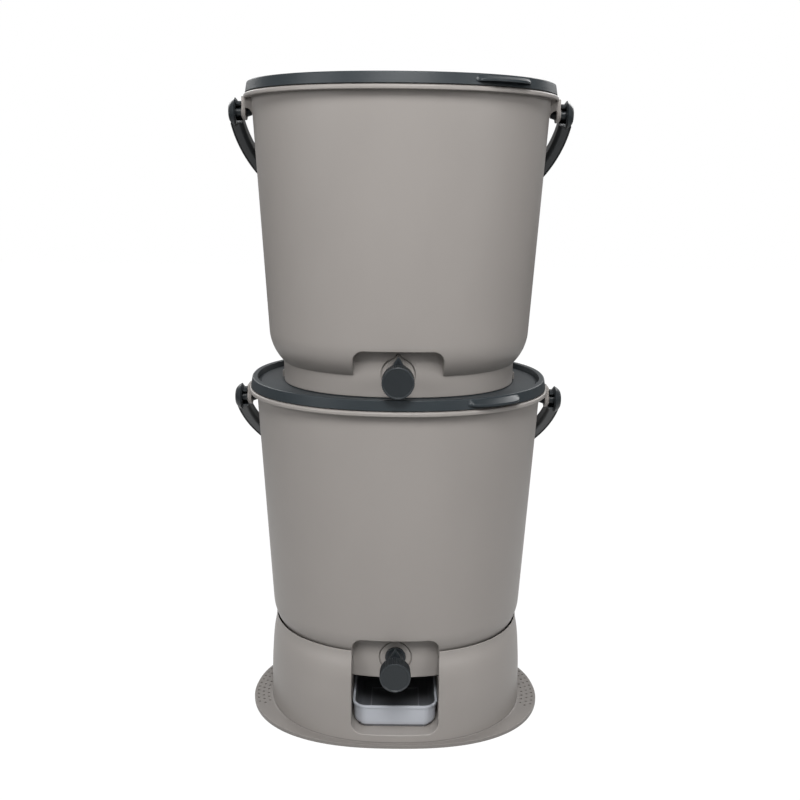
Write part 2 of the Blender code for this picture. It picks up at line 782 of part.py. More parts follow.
def slots(half_width, half_depth, notch_back):
    """Rows of slots that keep clear of the plate's edge, its notch and its legs."""
    shape = bmesh.new()
    reach_x = int(half_width / SLOT_PITCH_X)
    reach_y = int(half_depth / SLOT_PITCH_Y)
    for row in range(-reach_y, reach_y + 1):
        for column in range(-reach_x, reach_x + 1):
            x = column * SLOT_PITCH_X
            y = row * SLOT_PITCH_Y
            across = (abs(x) + SLOT_LENGTH / 2) / (half_width - SLOT_BORDER)
            along = (abs(y) + SLOT_WIDTH / 2) / (half_depth - SLOT_BORDER)
            inside = across**BIN_SQUARENESS + along**BIN_SQUARENESS < 1
            at_notch = y < notch_back + SLOT_BORDER and abs(x) < RECESS_HALF_WIDTH + SLOT_LENGTH
            leg_x = abs(abs(x) - LEG_SPREAD_X) < SLOT_LENGTH / 2 + 2 * LEG_RADIUS
            leg_y = abs(abs(y) - LEG_SPREAD_Y) < SLOT_WIDTH / 2 + 2 * LEG_RADIUS
            if not inside or at_notch or (leg_x and leg_y):
                continue
            new = bmesh.ops.create_cube(shape, size=1.0)["verts"]
            bmesh.ops.scale(shape, vec=(SLOT_LENGTH, SLOT_WIDTH, 2 * OVERRUN), verts=new)
            bmesh.ops.translate(shape, vec=(x, y, STRAINER_LIFT), verts=new)
    return object_from(mesh_from(shape, "slots"), "slots")


def strainer():
    """A slotted plate on four legs, which follows the wall and passes round the recess."""
    inset = corner_inset(STRAINER_LIFT, BIN_WALL) + STRAINER_EASE
    wall = BIN_HALF_WIDTH - BIN_TAPER_SHARE * (BIN_HEIGHT - STRAINER_LIFT)
    half_width = wall - inset
    half_depth = wall * BIN_DEPTH_SHARE - inset
    top = STRAINER_LIFT + STRAINER_THICKNESS
    made = loft(
        "strainer",
        [ring(half_width, half_depth, STRAINER_LIFT), ring(half_width, half_depth, top)],
    )
    notch_half_width = RECESS_HALF_WIDTH + BIN_WALL + NOTCH_EASE
    notch_back = NOTCH_DEPTH - FOOT_HALF_DEPTH
    notch = block(
        "notch",
        (-notch_half_width, -RIM_HALF_DEPTH, FOOT_HEIGHT),
        (notch_half_width, notch_back, RECESS_TOP + OVERRUN),
    )
    cut(made, notch, slots(half_width, half_depth, notch_back))
    for side_x in (-1, 1):
        for side_y in (-1, 1):
            leg_top = STRAINER_LIFT + STRAINER_THICKNESS / 2
            leg = cylinder("leg", LEG_RADIUS, FLOOR + GAP, leg_top, SMALL_SIDES)
            leg.location = (side_x * LEG_SPREAD_X, side_y * LEG_SPREAD_Y, 0)
            add(made, leg)
    return finished(made)


# Tap. Each piece is turned round Z, which points forward once it is in place.


def o_ring_middle():
    """Radius and forward distance of the O-ring's middle line."""
    return KNOB_BORE_RADIUS - GAP - O_RING_RADIUS, KNOB_BACK + O_RING_SETBACK


def tap_barrel():
    """The spout: a flanged stem, open inside the bucket and shut at its front."""
    front = KNOB_FRONT - KNOB_FACE - GAP
    seat = PAD_FACE + GAP
    ring_radius, ring_forward = o_ring_middle()
    groove_radius = ring_radius - O_RING_RADIUS - GAP
    groove_half = O_RING_RADIUS + GAP
    tail = WALL_FACE - WASHER_THICKNESS - NUT_THICKNESS - TAP_TAIL
    profile = [
        (0, front),
        (STEM_RADIUS - STEM_EDGE, front),
        (STEM_RADIUS, front - STEM_EDGE),
        (STEM_RADIUS, ring_forward + groove_half),
        (groove_radius, ring_forward + groove_half),
        (groove_radius, ring_forward - groove_half),
        (STEM_RADIUS, ring_forward - groove_half),
        (STEM_RADIUS, seat + TAP_FLANGE),
        (TAP_FLANGE_RADIUS, seat + TAP_FLANGE),
        (TAP_FLANGE_RADIUS, seat),
        (STEM_RADIUS, seat),
        (STEM_RADIUS, tail),
        (TAP_BORE_RADIUS, tail),
        (TAP_BORE_RADIUS, front - STEM_FACE),
        (0, front - STEM_FACE),
    ]
    made = turned("tap_barrel", profile)
    outlet = cylinder("outlet", OUTLET_RADIUS, 0, STEM_RADIUS + OVERRUN, SMALL_SIDES)
    outlet.rotation_euler = UPRIGHT
    outlet.location = (0, 0, OUTLET_FORWARD)
    cut(made, outlet)
    return finished(made)


def tap_o_ring():
    radius, forward = o_ring_middle()
    full_turn = 360 * (O_RING_SIDES - 1) / O_RING_SIDES
    profile = arc((radius, forward), O_RING_RADIUS, 0, -full_turn, O_RING_SIDES - 1)
    return finished(turned("tap_o_ring", profile, closed=True))


def tap_washer():
    front = WALL_FACE - GAP
    back = front - WASHER_THICKNESS
    bore = STEM_RADIUS + GAP
    profile = [(WASHER_RADIUS, front), (WASHER_RADIUS, back), (bore, back), (bore, front)]
    return finished(turned("tap_washer", profile, closed=True))


def tap_nut():
    front = WALL_FACE - WASHER_THICKNESS - 2 * GAP
    made = cylinder("tap_nut", NUT_RADIUS, front - NUT_THICKNESS, front, sides=6)
    bore = cylinder("nut_bore", STEM_RADIUS + GAP, front - NUT_THICKNESS - OVERRUN, front + OVERRUN)
    cut(made, bore)
    return finished(made)


def tap_knob():
    """A round cap that turns on the stem, with a port that meets the outlet when open."""
    profile = [
        (0, KNOB_FRONT),
        (KNOB_RADIUS - KNOB_EDGE, KNOB_FRONT),
        (KNOB_RADIUS, KNOB_FRONT - KNOB_EDGE),
        (KNOB_RADIUS, KNOB_FRONT - KNOB_GRIP),
        (KNOB_NECK_RADIUS, KNOB_BACK + KNOB_NECK),
        (KNOB_NECK_RADIUS, KNOB_BACK),
        (KNOB_BORE_RADIUS, KNOB_BACK),
        (KNOB_BORE_RADIUS, KNOB_FRONT - KNOB_FACE),
        (0, KNOB_FRONT - KNOB_FACE),
    ]
    made = turned("tap_knob", profile)
    base = KNOB_NECK_RADIUS - POINTER_SINK
    arrow = [(-POINTER_HALF_WIDTH, base), (POINTER_HALF_WIDTH, base), (0, POINTER_TIP)]
    middle = KNOB_BACK + GAP + POINTER_THICKNESS / 2
    add(made, plate("pointer", arrow, POINTER_THICKNESS, (0, 0, middle)))
    port = cylinder("port", OUTLET_RADIUS, 0, KNOB_RADIUS + OVERRUN, SMALL_SIDES)
    on_pivot(port, 1).location = (0, 0, OUTLET_FORWARD)
    cut(made, port)
    return finished(made)


# Stand


def stand_ring(height, inset):
    """The stand's wall at a height: straight below, drawn in towards the lip above."""
    lip_wall = BIN_HALF_WIDTH - BIN_TAPER_SHARE * (BIN_HEIGHT - STAND_LIP_RISE)
    lip_inset = corner_inset(STAND_LIP_RISE, 0) - STAND_LIP_GAP - STAND_LIP_EDGE
    lip_half_width = lip_wall - lip_inset
    lip_half_depth = lip_wall * BIN_DEPTH_SHARE - lip_inset
    up = (height - FLANGE_THICKNESS) / (STAND_TOP - FLANGE_THICKNESS)
    shares = [(0, 0)] + STAND_CURVE_SHARES + [(1, 1)]
    drawn = 0 if up < 0 else 1
    for (low, low_in), (high, high_in) in zip(shares, shares[1:]):
        if low <= up <= high:
            drawn = low_in + (high_in - low_in) * (up - low) / (high - low)
    return ring(
        STAND_HALF_WIDTH + (lip_half_width - STAND_HALF_WIDTH) * drawn - inset,
        STAND_HALF_DEPTH + (lip_half_depth - STAND_HALF_DEPTH) * drawn - inset,
        height,
        STAND_SQUARENESS + (BIN_SQUARENESS - STAND_SQUARENESS) * drawn,
    )


def curve_heights(start, end):
    """Heights between two others at which the stand's side changes its slope."""
    tall = STAND_TOP - FLANGE_THICKNESS
    heights = [FLANGE_THICKNESS + up * tall for up, _ in STAND_CURVE_SHARES]
    return [height for height in heights if start < height < end]


def flange_ring(height, inset):
    """The flange's edge: wide in front and at the sides, and back to the wall behind."""
    half_width = FLANGE_HALF_WIDTH - inset
    half_depth = FLANGE_HALF_DEPTH - inset
    edge = ring(half_width, half_depth, height, FLANGE_SQUARENESS)
    wall = [Vector((point.x, point.y, height)) for point in stand_ring(FLANGE_THICKNESS, 0)]
    faded = [max(0, point.y + FLANGE_FADE_START) / FLANGE_FADE_LENGTH for point in edge]
    kept_shares = [max(FLANGE_LEAST_SHARE, 1 - share**2) for share in faded]
    return [side.lerp(point, share) for side, point, share in zip(wall, edge, kept_shares)]


def shelf_opening():
    """The hole in the shelf, which leaves a ledge under the foot all round."""
    outlines = [foot_ring(0, SHELF_UNDERLAP), foot_ring(0, SHELF_UNDERLAP)]
    ends = (SHELF_HEIGHT - SHELF_THICKNESS - OVERRUN, SHELF_HEIGHT + OVERRUN)
    for outline, height in zip(outlines, ends):
        for point in outline:
            point.z = height
    return loft("shelf_opening", outlines)


def bay_prism(name, grow, top, back):
    """The tray's bay seen from the front, with round bottom corners."""
    half_width = BAY_HALF_WIDTH + grow
    radius = BAY_RADIUS + grow
    low = BAY_FLOOR - grow
    points = [(half_width, top), (-half_width, top)]
    points += arc((radius - half_width, low + radius), radius, 180, 270, BEND_STEPS)
    points += arc((half_width - radius, low + radius), radius, 270, 360, BEND_STEPS)
    return across_y(name, points, -FLANGE_HALF_DEPTH - OVERRUN, back)


def stand():
    """A hollow pedestal with a floor flange, a shelf for the bucket's foot and a bay."""
    sides = [FLANGE_THICKNESS] + curve_heights(FLANGE_THICKNESS, STAND_TOP) + [STAND_TOP]
    outlines = [flange_ring(0, 0), flange_ring(FLANGE_THICKNESS - FLANGE_EDGE, 0)]
    outlines += [flange_ring(FLANGE_THICKNESS, FLANGE_EDGE)]
    outlines += [stand_ring(height, 0) for height in sides]
    made = loft("stand_body", outlines)

    shelf_low = SHELF_HEIGHT - SHELF_THICKNESS
    below = [-OVERRUN] + curve_heights(FLANGE_THICKNESS, shelf_low) + [shelf_low]
    inside = loft("under_shelf", [stand_ring(height, STAND_WALL) for height in below])
    lip_low = STAND_TOP - STAND_LIP_DROP
    above = [SHELF_HEIGHT] + curve_heights(SHELF_HEIGHT, lip_low) + [lip_low]
    pocket = [stand_ring(height, STAND_WALL) for height in above]
    pocket += [stand_ring(STAND_TOP, STAND_LIP_EDGE)]
    pocket += [[point + Vector((0, 0, OVERRUN)) for point in pocket[-1]]]
    add(inside, loft("above_shelf", pocket), shelf_opening())

    bay_top = SHELF_HEIGHT - SHELF_THICKNESS / 2
    back = TRAY_BACK + GAP
    cut(inside, bay_prism("bay_wall", STAND_WALL, bay_top, back + STAND_WALL))
    cut(made, inside, bay_prism("bay", 0, STAND_TOP + OVERRUN, back))
    return finished(made)


# Juice tray


def tray_outline(inset, height):
    return rounded_box(
        TRAY_HALF_WIDTH - inset,
        -TRAY_FRONT + inset,
        TRAY_BACK - inset,
        TRAY_RADIUS - inset,
        height,
    )


def juice_tray():
    """An open tray with a rim band, a round lower edge and a raised square in its floor."""
    low_side = TRAY_LIP + TRAY_DRAFT
    low_radius = TRAY_EDGE - TRAY_WALL
    lip_low = TRAY_HEIGHT - TRAY_LIP_HEIGHT
    outlines = []
    for across, up in arc((TRAY_EDGE, TRAY_EDGE), TRAY_EDGE, 270, 180, TRAY_EDGE_STEPS):
        outlines.append(tray_outline(low_side + across, up))
    outlines += [
        tray_outline(TRAY_LIP, lip_low),
        tray_outline(0, lip_low),
        tray_outline(0, TRAY_HEIGHT),
        tray_outline(TRAY_LIP + TRAY_WALL, TRAY_HEIGHT),
    ]
    for across, up in arc((TRAY_EDGE, TRAY_EDGE), low_radius, 180, 270, TRAY_EDGE_STEPS):
        outlines.append(tray_outline(low_side + across, up))
    made = loft("tray_body", outlines)
    pad_front = -TRAY_FRONT + low_side + TRAY_EDGE + TRAY_PAD_SETBACK
    pad = block(
        "tray_pad",
        (-TRAY_PAD / 2, pad_front, TRAY_WALL / 2),
        (TRAY_PAD / 2, pad_front + TRAY_PAD, TRAY_WALL + TRAY_PAD_RISE),
    )
    add(made, pad)
    return finished(made)


# Materials. Each sub-part has its own, so that each can be coloured by itself.

BIN_GREY = (0.296, 0.275, 0.258)
ANTHRACITE = (0.045, 0.054, 0.061)
RUBBER_BLACK = (0.012, 0.012, 0.013)
STRAINER_GREY = (0.120, 0.122, 0.124)
TRAY_GREY = (0.392, 0.397, 0.410)

PIECES = {
    "bucket": (bucket(), plastic("bucket_plastic", BIN_GREY, 0.48)),
    "lid": (lid(), plastic("lid_plastic", ANTHRACITE, 0.50)),
    "lid_seal": (lid_seal(), plastic("lid_seal_rubber", RUBBER_BLACK, 0.75)),
    "handle": (handle(), plastic("handle_plastic", ANTHRACITE, 0.46)),
    "strainer": (strainer(), plastic("strainer_plastic", STRAINER_GREY, 0.52)),
    "tap_barrel": (tap_barrel(), plastic("tap_barrel_plastic", ANTHRACITE, 0.42)),
    "tap_nut": (tap_nut(), plastic("tap_nut_plastic", ANTHRACITE, 0.50)),
    "tap_washer": (tap_washer(), plastic("tap_washer_rubber", RUBBER_BLACK, 0.78)),
    "tap_knob": (tap_knob(), plastic("tap_knob_plastic", ANTHRACITE, 0.40)),
    "tap_o_ring": (tap_o_ring(), plastic("tap_o_ring_rubber", RUBBER_BLACK, 0.70)),
}


# Assembly


def put_bin(prefix, base):
    """One bucket with its lid, handle, strainer and tap, standing at a height."""
    for name, (data, material) in PIECES.items():
        at = (0, 0, base)
        turn = (0, 0, 0)
        if name == "handle":
            at = (0, 0, base + PIVOT_HEIGHT)
            turn = (handle_lean(), 0, 0)
        if name.startswith("tap_"):
            at = (0, 0, base + TAP_HEIGHT)
            turn = UPRIGHT
        put(prefix + name, data, material, at, turn)


put("stand", stand(), plastic("stand_plastic", BIN_GREY, 0.50))
put("juice_tray", juice_tray(), plastic("tray_plastic", TRAY_GREY, 0.42), (0, 0, TRAY_BASE))
put_bin("lower_", LOWER_BIN_BASE)
put_bin("upper_", UPPER_BIN_BASE)
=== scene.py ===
import json
import math

import bmesh
import bpy
from mathutils import Matrix, Vector
from mathutils.bvhtree import BVHTree

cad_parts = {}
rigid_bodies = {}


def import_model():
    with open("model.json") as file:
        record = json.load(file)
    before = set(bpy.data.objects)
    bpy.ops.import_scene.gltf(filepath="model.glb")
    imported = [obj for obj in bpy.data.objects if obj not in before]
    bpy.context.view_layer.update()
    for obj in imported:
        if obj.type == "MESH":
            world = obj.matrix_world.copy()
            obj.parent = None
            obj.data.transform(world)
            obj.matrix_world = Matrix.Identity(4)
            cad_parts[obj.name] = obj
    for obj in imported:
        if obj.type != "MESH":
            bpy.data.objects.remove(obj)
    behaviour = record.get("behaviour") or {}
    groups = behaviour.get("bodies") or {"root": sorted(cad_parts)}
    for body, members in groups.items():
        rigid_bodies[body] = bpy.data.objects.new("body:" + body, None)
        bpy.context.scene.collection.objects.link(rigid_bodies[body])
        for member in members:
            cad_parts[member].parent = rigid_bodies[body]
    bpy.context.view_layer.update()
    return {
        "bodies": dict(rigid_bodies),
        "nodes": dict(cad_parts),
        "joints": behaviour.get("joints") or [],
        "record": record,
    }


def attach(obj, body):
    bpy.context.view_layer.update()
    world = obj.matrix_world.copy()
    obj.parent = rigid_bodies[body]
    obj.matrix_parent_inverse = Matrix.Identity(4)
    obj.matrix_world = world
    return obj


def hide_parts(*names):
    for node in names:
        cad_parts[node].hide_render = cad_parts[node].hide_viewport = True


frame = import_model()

around = 160  # corners of the big ovals
weld = 0.000002
gap = 0.0003  # between two pieces that touch
farOut = 0.2  # in front of everything
overrun = 0.004  # how far a tool passes what it cuts
smoothAngle = 32  # sharper edges stay sharp
softTurns = (0, 15, 30, 45, 60, 72)  # round an opening's soft edge


# Camera, light and floor

cameraSizes = {
    "lens": 44.97,
    "sensor": 36.0,
    "place": (0.0020, -1.0547, 0.5617),
    "pitch": 77.85,
    "roll": 0.60,
}

stageSizes = {
    "aim": (0.0, 0.0, 0.36),
    "world": 0.08,
    "worldGloss": 0.35,
    "floor": 6.0,
    "floorGloss": 0.9,
    "floorNear": (0.5, 1.5),  # from here to here its gloss fades
    "floorColour": (0.32, 0.32, 0.32),
    "floorRough": 0.9,
    "floorGrain": (0.002, 0.00001),  # size, depth
    "floorWhite": 0.90,
    "floorGlow": 1.115,
    "lamps": {  # power, place, size
        "key": (38.5, (0.02, -1.55, 1.92), 0.8),
        "front": (2.0, (0.05, -2.2, 0.95), 1.0),
        "left": (11.5, (-1.5, -1.2, 1.15), 0.8),
        "right": (10.0, (1.5, -1.2, 1.15), 0.8),
        "backLeft": (14.0, (-1.1, 1.5, 1.5), 0.9),
        "backRight": (14.0, (1.1, 1.5, 1.5), 0.9),
    },
}


def addCamera():
    data = bpy.data.cameras.new("viewer")
    data.lens = cameraSizes["lens"]
    data.sensor_width = cameraSizes["sensor"]
    camera = bpy.data.objects.new("viewer", data)
    bpy.context.scene.collection.objects.link(camera)
    pitch = Matrix.Rotation(math.radians(cameraSizes["pitch"]), 4, "X")
    roll = Matrix.Rotation(math.radians(cameraSizes["roll"]), 4, "Z")
    camera.matrix_world = Matrix.Translation(cameraSizes["place"]) @ pitch @ roll
    bpy.context.scene.camera = camera


def addLamps():
    aim = Vector(stageSizes["aim"])
    for name, (power, place, size) in stageSizes["lamps"].items():
        data = bpy.data.lights.new(name, "AREA")
        data.energy = power
        data.size = size
        lamp = bpy.data.objects.new(name, data)
        lamp.location = place
        lamp.rotation_euler = (aim - Vector(place)).to_track_quat("-Z", "Y").to_euler()
        bpy.context.scene.collection.objects.link(lamp)


# Making and shaping


def pick(piece):
    if bpy.context.mode != "OBJECT":
        bpy.ops.object.mode_set(mode="OBJECT")
    bpy.ops.object.select_all(action="DESELECT")
    if piece:
        piece.select_set(True)
        bpy.context.view_layer.objects.active = piece


def named(name):
    piece = bpy.context.object
    piece.name = name
    piece.data.name = name
    bpy.ops.object.transform_apply(location=True, rotation=True, scale=True)
    return piece


def editWhole(piece):
    pick(piece)
    bpy.ops.object.mode_set(mode="EDIT")
    bpy.ops.mesh.select_mode(type="VERT")
    bpy.ops.mesh.select_all(action="SELECT")


def endEdit():
    bpy.ops.mesh.select_all(action="SELECT")
    bpy.ops.mesh.normals_make_consistent(inside=False)
    bpy.ops.object.mode_set(mode="OBJECT")


def modified(piece, kind, **settings):
    change = piece.modifiers.new(kind.lower(), kind)
    for name, value in settings.items():
        setattr(change, name, value)
    pick(piece)
    bpy.ops.object.modifier_apply(modifier=change.name)
    return piece


def carve(piece, *tools, how="DIFFERENCE"):
    for tool in tools:
        modified(piece, "BOOLEAN", operation=how, solver="EXACT", object=tool)
        bpy.data.objects.remove(tool)
        # points that the cut left as good as together spoil the next cut
        editWhole(piece)
        bpy.ops.mesh.remove_doubles(threshold=weld / 2)
        bpy.ops.mesh.dissolve_degenerate(threshold=weld / 2)
        bpy.ops.object.mode_set(mode="OBJECT")
    return piece


def weldOn(piece, *others):
    return carve(piece, *others, how="UNION")


def rounded(piece, width, segments=3, angle=35):
    return modified(
        piece,
        "BEVEL",
        width=width,
        segments=segments,
        limit_method="ANGLE",
        angle_limit=math.radians(angle),
        use_clamp_overlap=True,
    )


def turnTo(piece, matrix):
    piece.data.transform(matrix)
    return piece


def lifted(piece, height):
    return turnTo(piece, Matrix.Translation((0, 0, height)))


def copied(piece, name, height):
    twin = bpy.data.objects.new(name, piece.data.copy())
    twin.data.name = name
    bpy.context.scene.collection.objects.link(twin)
    return lifted(twin, height)


def ringStack(name, rings, corners=around):
    # a ring of edges, extruded and scaled from each (radius, height) to the next
    radius, height = rings[0]
    pick(None)
    bpy.ops.mesh.primitive_circle_add(vertices=corners, radius=radius, location=(0, 0, height))
    piece = named(name)
    editWhole(piece)
    for newRadius, newHeight in rings[1:]:
        rise = (0, 0, newHeight - height)
        growth = newRadius / radius
        bpy.ops.mesh.extrude_region_move(TRANSFORM_OT_translate={"value": rise})
        bpy.ops.transform.resize(value=(growth, growth, 1), center_override=(0, 0, newHeight))
        radius, height = newRadius, newHeight
    bpy.ops.mesh.select_all(action="SELECT")
    bpy.ops.mesh.fill_holes(sides=0)
    endEdit()
    return piece


def squared(value, squareness):
    return math.copysign(abs(value) ** (2 / squareness), value)


def makeOval(piece, shapeAt):
    # turns round rings into ovals: shapeAt gives how much less deep, and how square
    for corner in piece.data.vertices:
        radius = math.hypot(corner.co.x, corner.co.y)
        turn = math.atan2(corner.co.y, corner.co.x)
        lessDepth, squareness = shapeAt(radius, corner.co.z)
        corner.co.x = radius * squared(math.cos(turn), squareness)
        corner.co.y = (radius - lessDepth) * squared(math.sin(turn), squareness)
    return piece


def block(name, low, high):
    pick(None)
    middle = [(one + other) / 2 for one, other in zip(low, high)]
    size = [abs(other - one) for one, other in zip(low, high)]
    bpy.ops.mesh.primitive_cube_add(size=1, location=middle, scale=size)
    return named(name)


def rod(name, radius, start, end, corners=48):
    # between two points
    pick(None)
    along = Vector(end) - Vector(start)
    bpy.ops.mesh.primitive_cylinder_add(
        vertices=corners,
        radius=radius,
        depth=along.length,
        location=(Vector(start) + Vector(end)) / 2,
        rotation=along.to_track_quat("Z", "Y").to_euler(),
    )
    return named(name)


def pushed(name, points, way):
    # a flat outline, extruded along a way
    pick(None)
    bpy.ops.mesh.primitive_circle_add(vertices=len(points), fill_type="NGON")
    piece = named(name)
    for corner, point in zip(piece.data.vertices, points):
        corner.co = point
    editWhole(piece)
    bpy.ops.mesh.extrude_region_move(TRANSFORM_OT_translate={"value": way})
    endEdit()
    return piece


def skin(name, rows):
    # for the few shapes that follow a curve or another piece's face
    shape = bmesh.new()
    made = [[shape.verts.new(point) for point in row] for row in rows]
    for low, high in zip(made, made[1:]):
        for here in range(len(low)):
            after = (here + 1) % len(low)
            shape.faces.new((low[here], low[after], high[after], high[here]))
    shape.faces.new(made[0])
    shape.faces.new(made[-1])
    bmesh.ops.recalc_face_normals(shape, faces=shape.faces)
    data = bpy.data.meshes.new(name)
    shape.to_mesh(data)
    shape.free()
    piece = bpy.data.objects.new(name, data)
    bpy.context.scene.collection.objects.link(piece)
    return piece


def smoothShare(shares, place):
    # a smooth line through the shares, with even slopes at each
    place = min(max(place, 0), 1)
    for index, (start, end) in enumerate(zip(shares, shares[1:])):
        if place <= end[0]:
            break
    before = shares[max(index - 1, 0)]
    after = shares[min(index + 2, len(shares) - 1)]
    startSlope = (end[1] - before[1]) / (end[0] - before[0])
    endSlope = (after[1] - start[1]) / (after[0] - start[0])
    wide = end[0] - start[0]
    t = (place - start[0]) / wide
    value = (2 * t**3 - 3 * t**2 + 1) * start[1] + (3 * t**2 - 2 * t**3) * end[1]
    return value + wide * ((t**3 - 2 * t**2 + t) * startSlope + (t**3 - t**2) * endSlope)


def arc(centre, radius, start, end, steps):
    points = []
    for step in range(steps + 1):
        turn = math.radians(start + (end - start) * step / steps)
        points.append((centre[0] + radius * math.cos(turn), centre[1] + radius * math.sin(turn)))
    return points


def archOutline(halfWidth, flatEnd, roundEnd, radius, spacing=0.003, bendSteps=10):
    # up one side, round two corners and back down, each point with its way out
    up = math.copysign(1, roundEnd - flatEnd)
    bend = roundEnd - up * radius
    sides = math.ceil(abs(bend - flatEnd) / spacing)
    across = math.ceil(2 * (halfWidth - radius) / spacing)
    left = []
    for step in range(sides):
        left.append((-halfWidth, flatEnd + (bend - flatEnd) * step / sides, -1, 0))
    for step in range(bendSteps):
        turn = math.pi - math.pi / 2 * step / bendSteps
        out = (math.cos(turn), up * math.sin(turn))
        left.append((radius - halfWidth + radius * out[0], bend + radius * out[1], *out))
    middle = []
    for step in range(across + 1):
        middle.append(((halfWidth - radius) * (2 * step / across - 1), roundEnd, 0, up))
    right = [(-x, z, -outX, outZ) for x, z, outX, outZ in reversed(left)]
    return left + middle + right


def softTool(name, outline, softness, target, back, lowest=-1, highest=1):
    # an opening's tool, which opens out softly where it meets the target's front
    tree = BVHTree.FromObject(target, bpy.context.evaluated_depsgraph_get())

    def frontFace(x, z):
        z = min(max(z, lowest), highest)
        for nudge in (0, weld, -weld):  # a ray right along an edge can miss
            spot = tree.ray_cast(Vector((x + nudge, -farOut, z + nudge)), Vector((0, 1, 0)))[0]
            if spot:
                return spot.y

    rows = [[(x, back, z) for x, z, outX, outZ in outline]]
    for degrees in softTurns:
        spread = softness * (1 - math.cos(math.radians(degrees)))
        deep = softness * (1 - math.sin(math.radians(degrees)))
        row = []
        for x, z, outX, outZ in outline:
            x += spread * outX
            z += spread * outZ
            row.append((x, frontFace(x, z) + deep, z))
        rows.append(row)
    rows.append([(x, -farOut, z) for x, y, z in rows[-1]])
    return skin(name, rows)


def masked(piece, shareAt):
    # how much painted shade or painted highlight each corner has
    mask = piece.data.attributes.new("mask", "FLOAT", "POINT")
    for corner in piece.data.vertices:
        mask.data[corner.index].value = shareAt(corner)
    return piece


def finished(piece, body, finish, nodes):
    pick(piece)
    bpy.ops.object.shade_smooth_by_angle(angle=math.radians(smoothAngle))
    modified(piece, "WEIGHTED_NORMAL", keep_sharp=True, weight=80)
    piece.data.materials.clear()
    piece.data.materials.append(finish)
    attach(piece, body)
    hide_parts(*nodes)


def stacked(piece, part, rise, body, node, kind):
    # a lower piece goes to its height, and its twin to the upper bin
    twin = copied(piece, "upper" + part, upperBase + rise)
    lifted(piece, lowerBase + rise)
    for side, made in (("lower_", piece), ("upper_", twin)):
        finished(made, side + body, finishes[kind], [side + node])


# Materials


class Wire:
    def __init__(self, net, socket):
        self.net = net
        self.socket = socket

    def maths(self, how, *values):
        inputs = dict(enumerate(values))
        return self.net.node("Math", {"operation": how}, inputs)

    def __add__(self, other):
        return self.maths("ADD", self, other)

    def __rsub__(self, other):
        return self.maths("SUBTRACT", other, self)

    def __mul__(self, other):
        return self.maths("MULTIPLY", self, other)

    __radd__ = __add__
    __rmul__ = __mul__

    def between(self, low, high):
        # 0 at low, 1 at high, level outside
        inputs = {"Value": self, "From Min": low, "From Max": high}
        return self.net.node("MapRange", {"clamp": True}, inputs)


class Net:
    def __init__(self, owner):
        # of a material or a world
        owner.use_nodes = True
        self.owner = owner
        self.tree = owner.node_tree

    def feed(self, socket, value):
        if isinstance(value, Wire):
            self.tree.links.new(value.socket, socket)
        elif isinstance(value, tuple) and len(value) == 3 and socket.type == "RGBA":
            socket.default_value = (*value, 1)
        else:
            socket.default_value = value

    def node(self, kind, settings, inputs, out=0):
        made = self.tree.nodes.new("ShaderNode" + kind)
        for name, value in settings.items():
            if name == "stops":
                for stop, (place, colour) in zip(made.color_ramp.elements, value):
                    stop.position = place
                    stop.color = colour
            else:
                setattr(made, name, value)
        for name, value in inputs.items():
            self.feed(made.inputs[name], value)
        return Wire(self, made.outputs[out])

    def place(self, stretch=(1, 1, 1)):
        spot = self.node("TexCoord", {}, {}, "Object")
        return self.node("Mapping", {}, {"Vector": spot, "Scale": stretch})

    def noise(self, size, detail=3.0, stretch=(1, 1, 1), rough=0.5):
        # size is that of one blot, in metres
        inputs = {"Vector": self.place(stretch), "Scale": 1 / size, "Detail": detail}
        inputs["Roughness"] = rough
        return self.node("TexNoise", {}, inputs)

    def mixed(self, one, other, factor):
        inputs = {0: factor, 6: one, 7: other}
        return self.node("Mix", {"data_type": "RGBA"}, inputs, 2)

    def finish(self, colour, roughness, bumps, **fixed):
        shader = self.tree.nodes["Principled BSDF"]
        self.feed(shader.inputs["Base Color"], colour)
        self.feed(shader.inputs["Roughness"], roughness)
        normal = None
        for height, depth in bumps:
            inputs = {"Height": height, "Distance": depth, "Strength": 1.0}
            if normal:
                inputs["Normal"] = normal
            normal = self.node("Bump", {}, inputs)
        if normal:
            self.feed(shader.inputs["Normal"], normal)
        for name, value in fixed.items():
            self.feed(shader.inputs[name.replace("_", " ")], value)
        return self.owner


def shade(colour, factor):
    return tuple(part * factor for part in colour)


patterns = {  # size, detail, stretch and roughness of its noise, where it starts and where it is full
    "blots": (0.075, 3.0, (1, 1, 0.45), 0.5, 0.30, 0.70),
    "specks": (0.0011, 1.0, (1, 1, 1), 0.5, 0.62, 0.78),
    "rubs": (0.0032, 5.0, (1, 1, 0.12), 0.65, 0.60, 0.80),
    "scuffs": (0.021, 6.0, (1, 1, 1), 0.7, 0.56, 0.74),
}

roughParts = {"blots": 0.04, "grain": 0.06, "scuffs": 0.05, "all": -0.075}
pebbles = (3.1, 1.6)  # their size and depth, in those of the grain


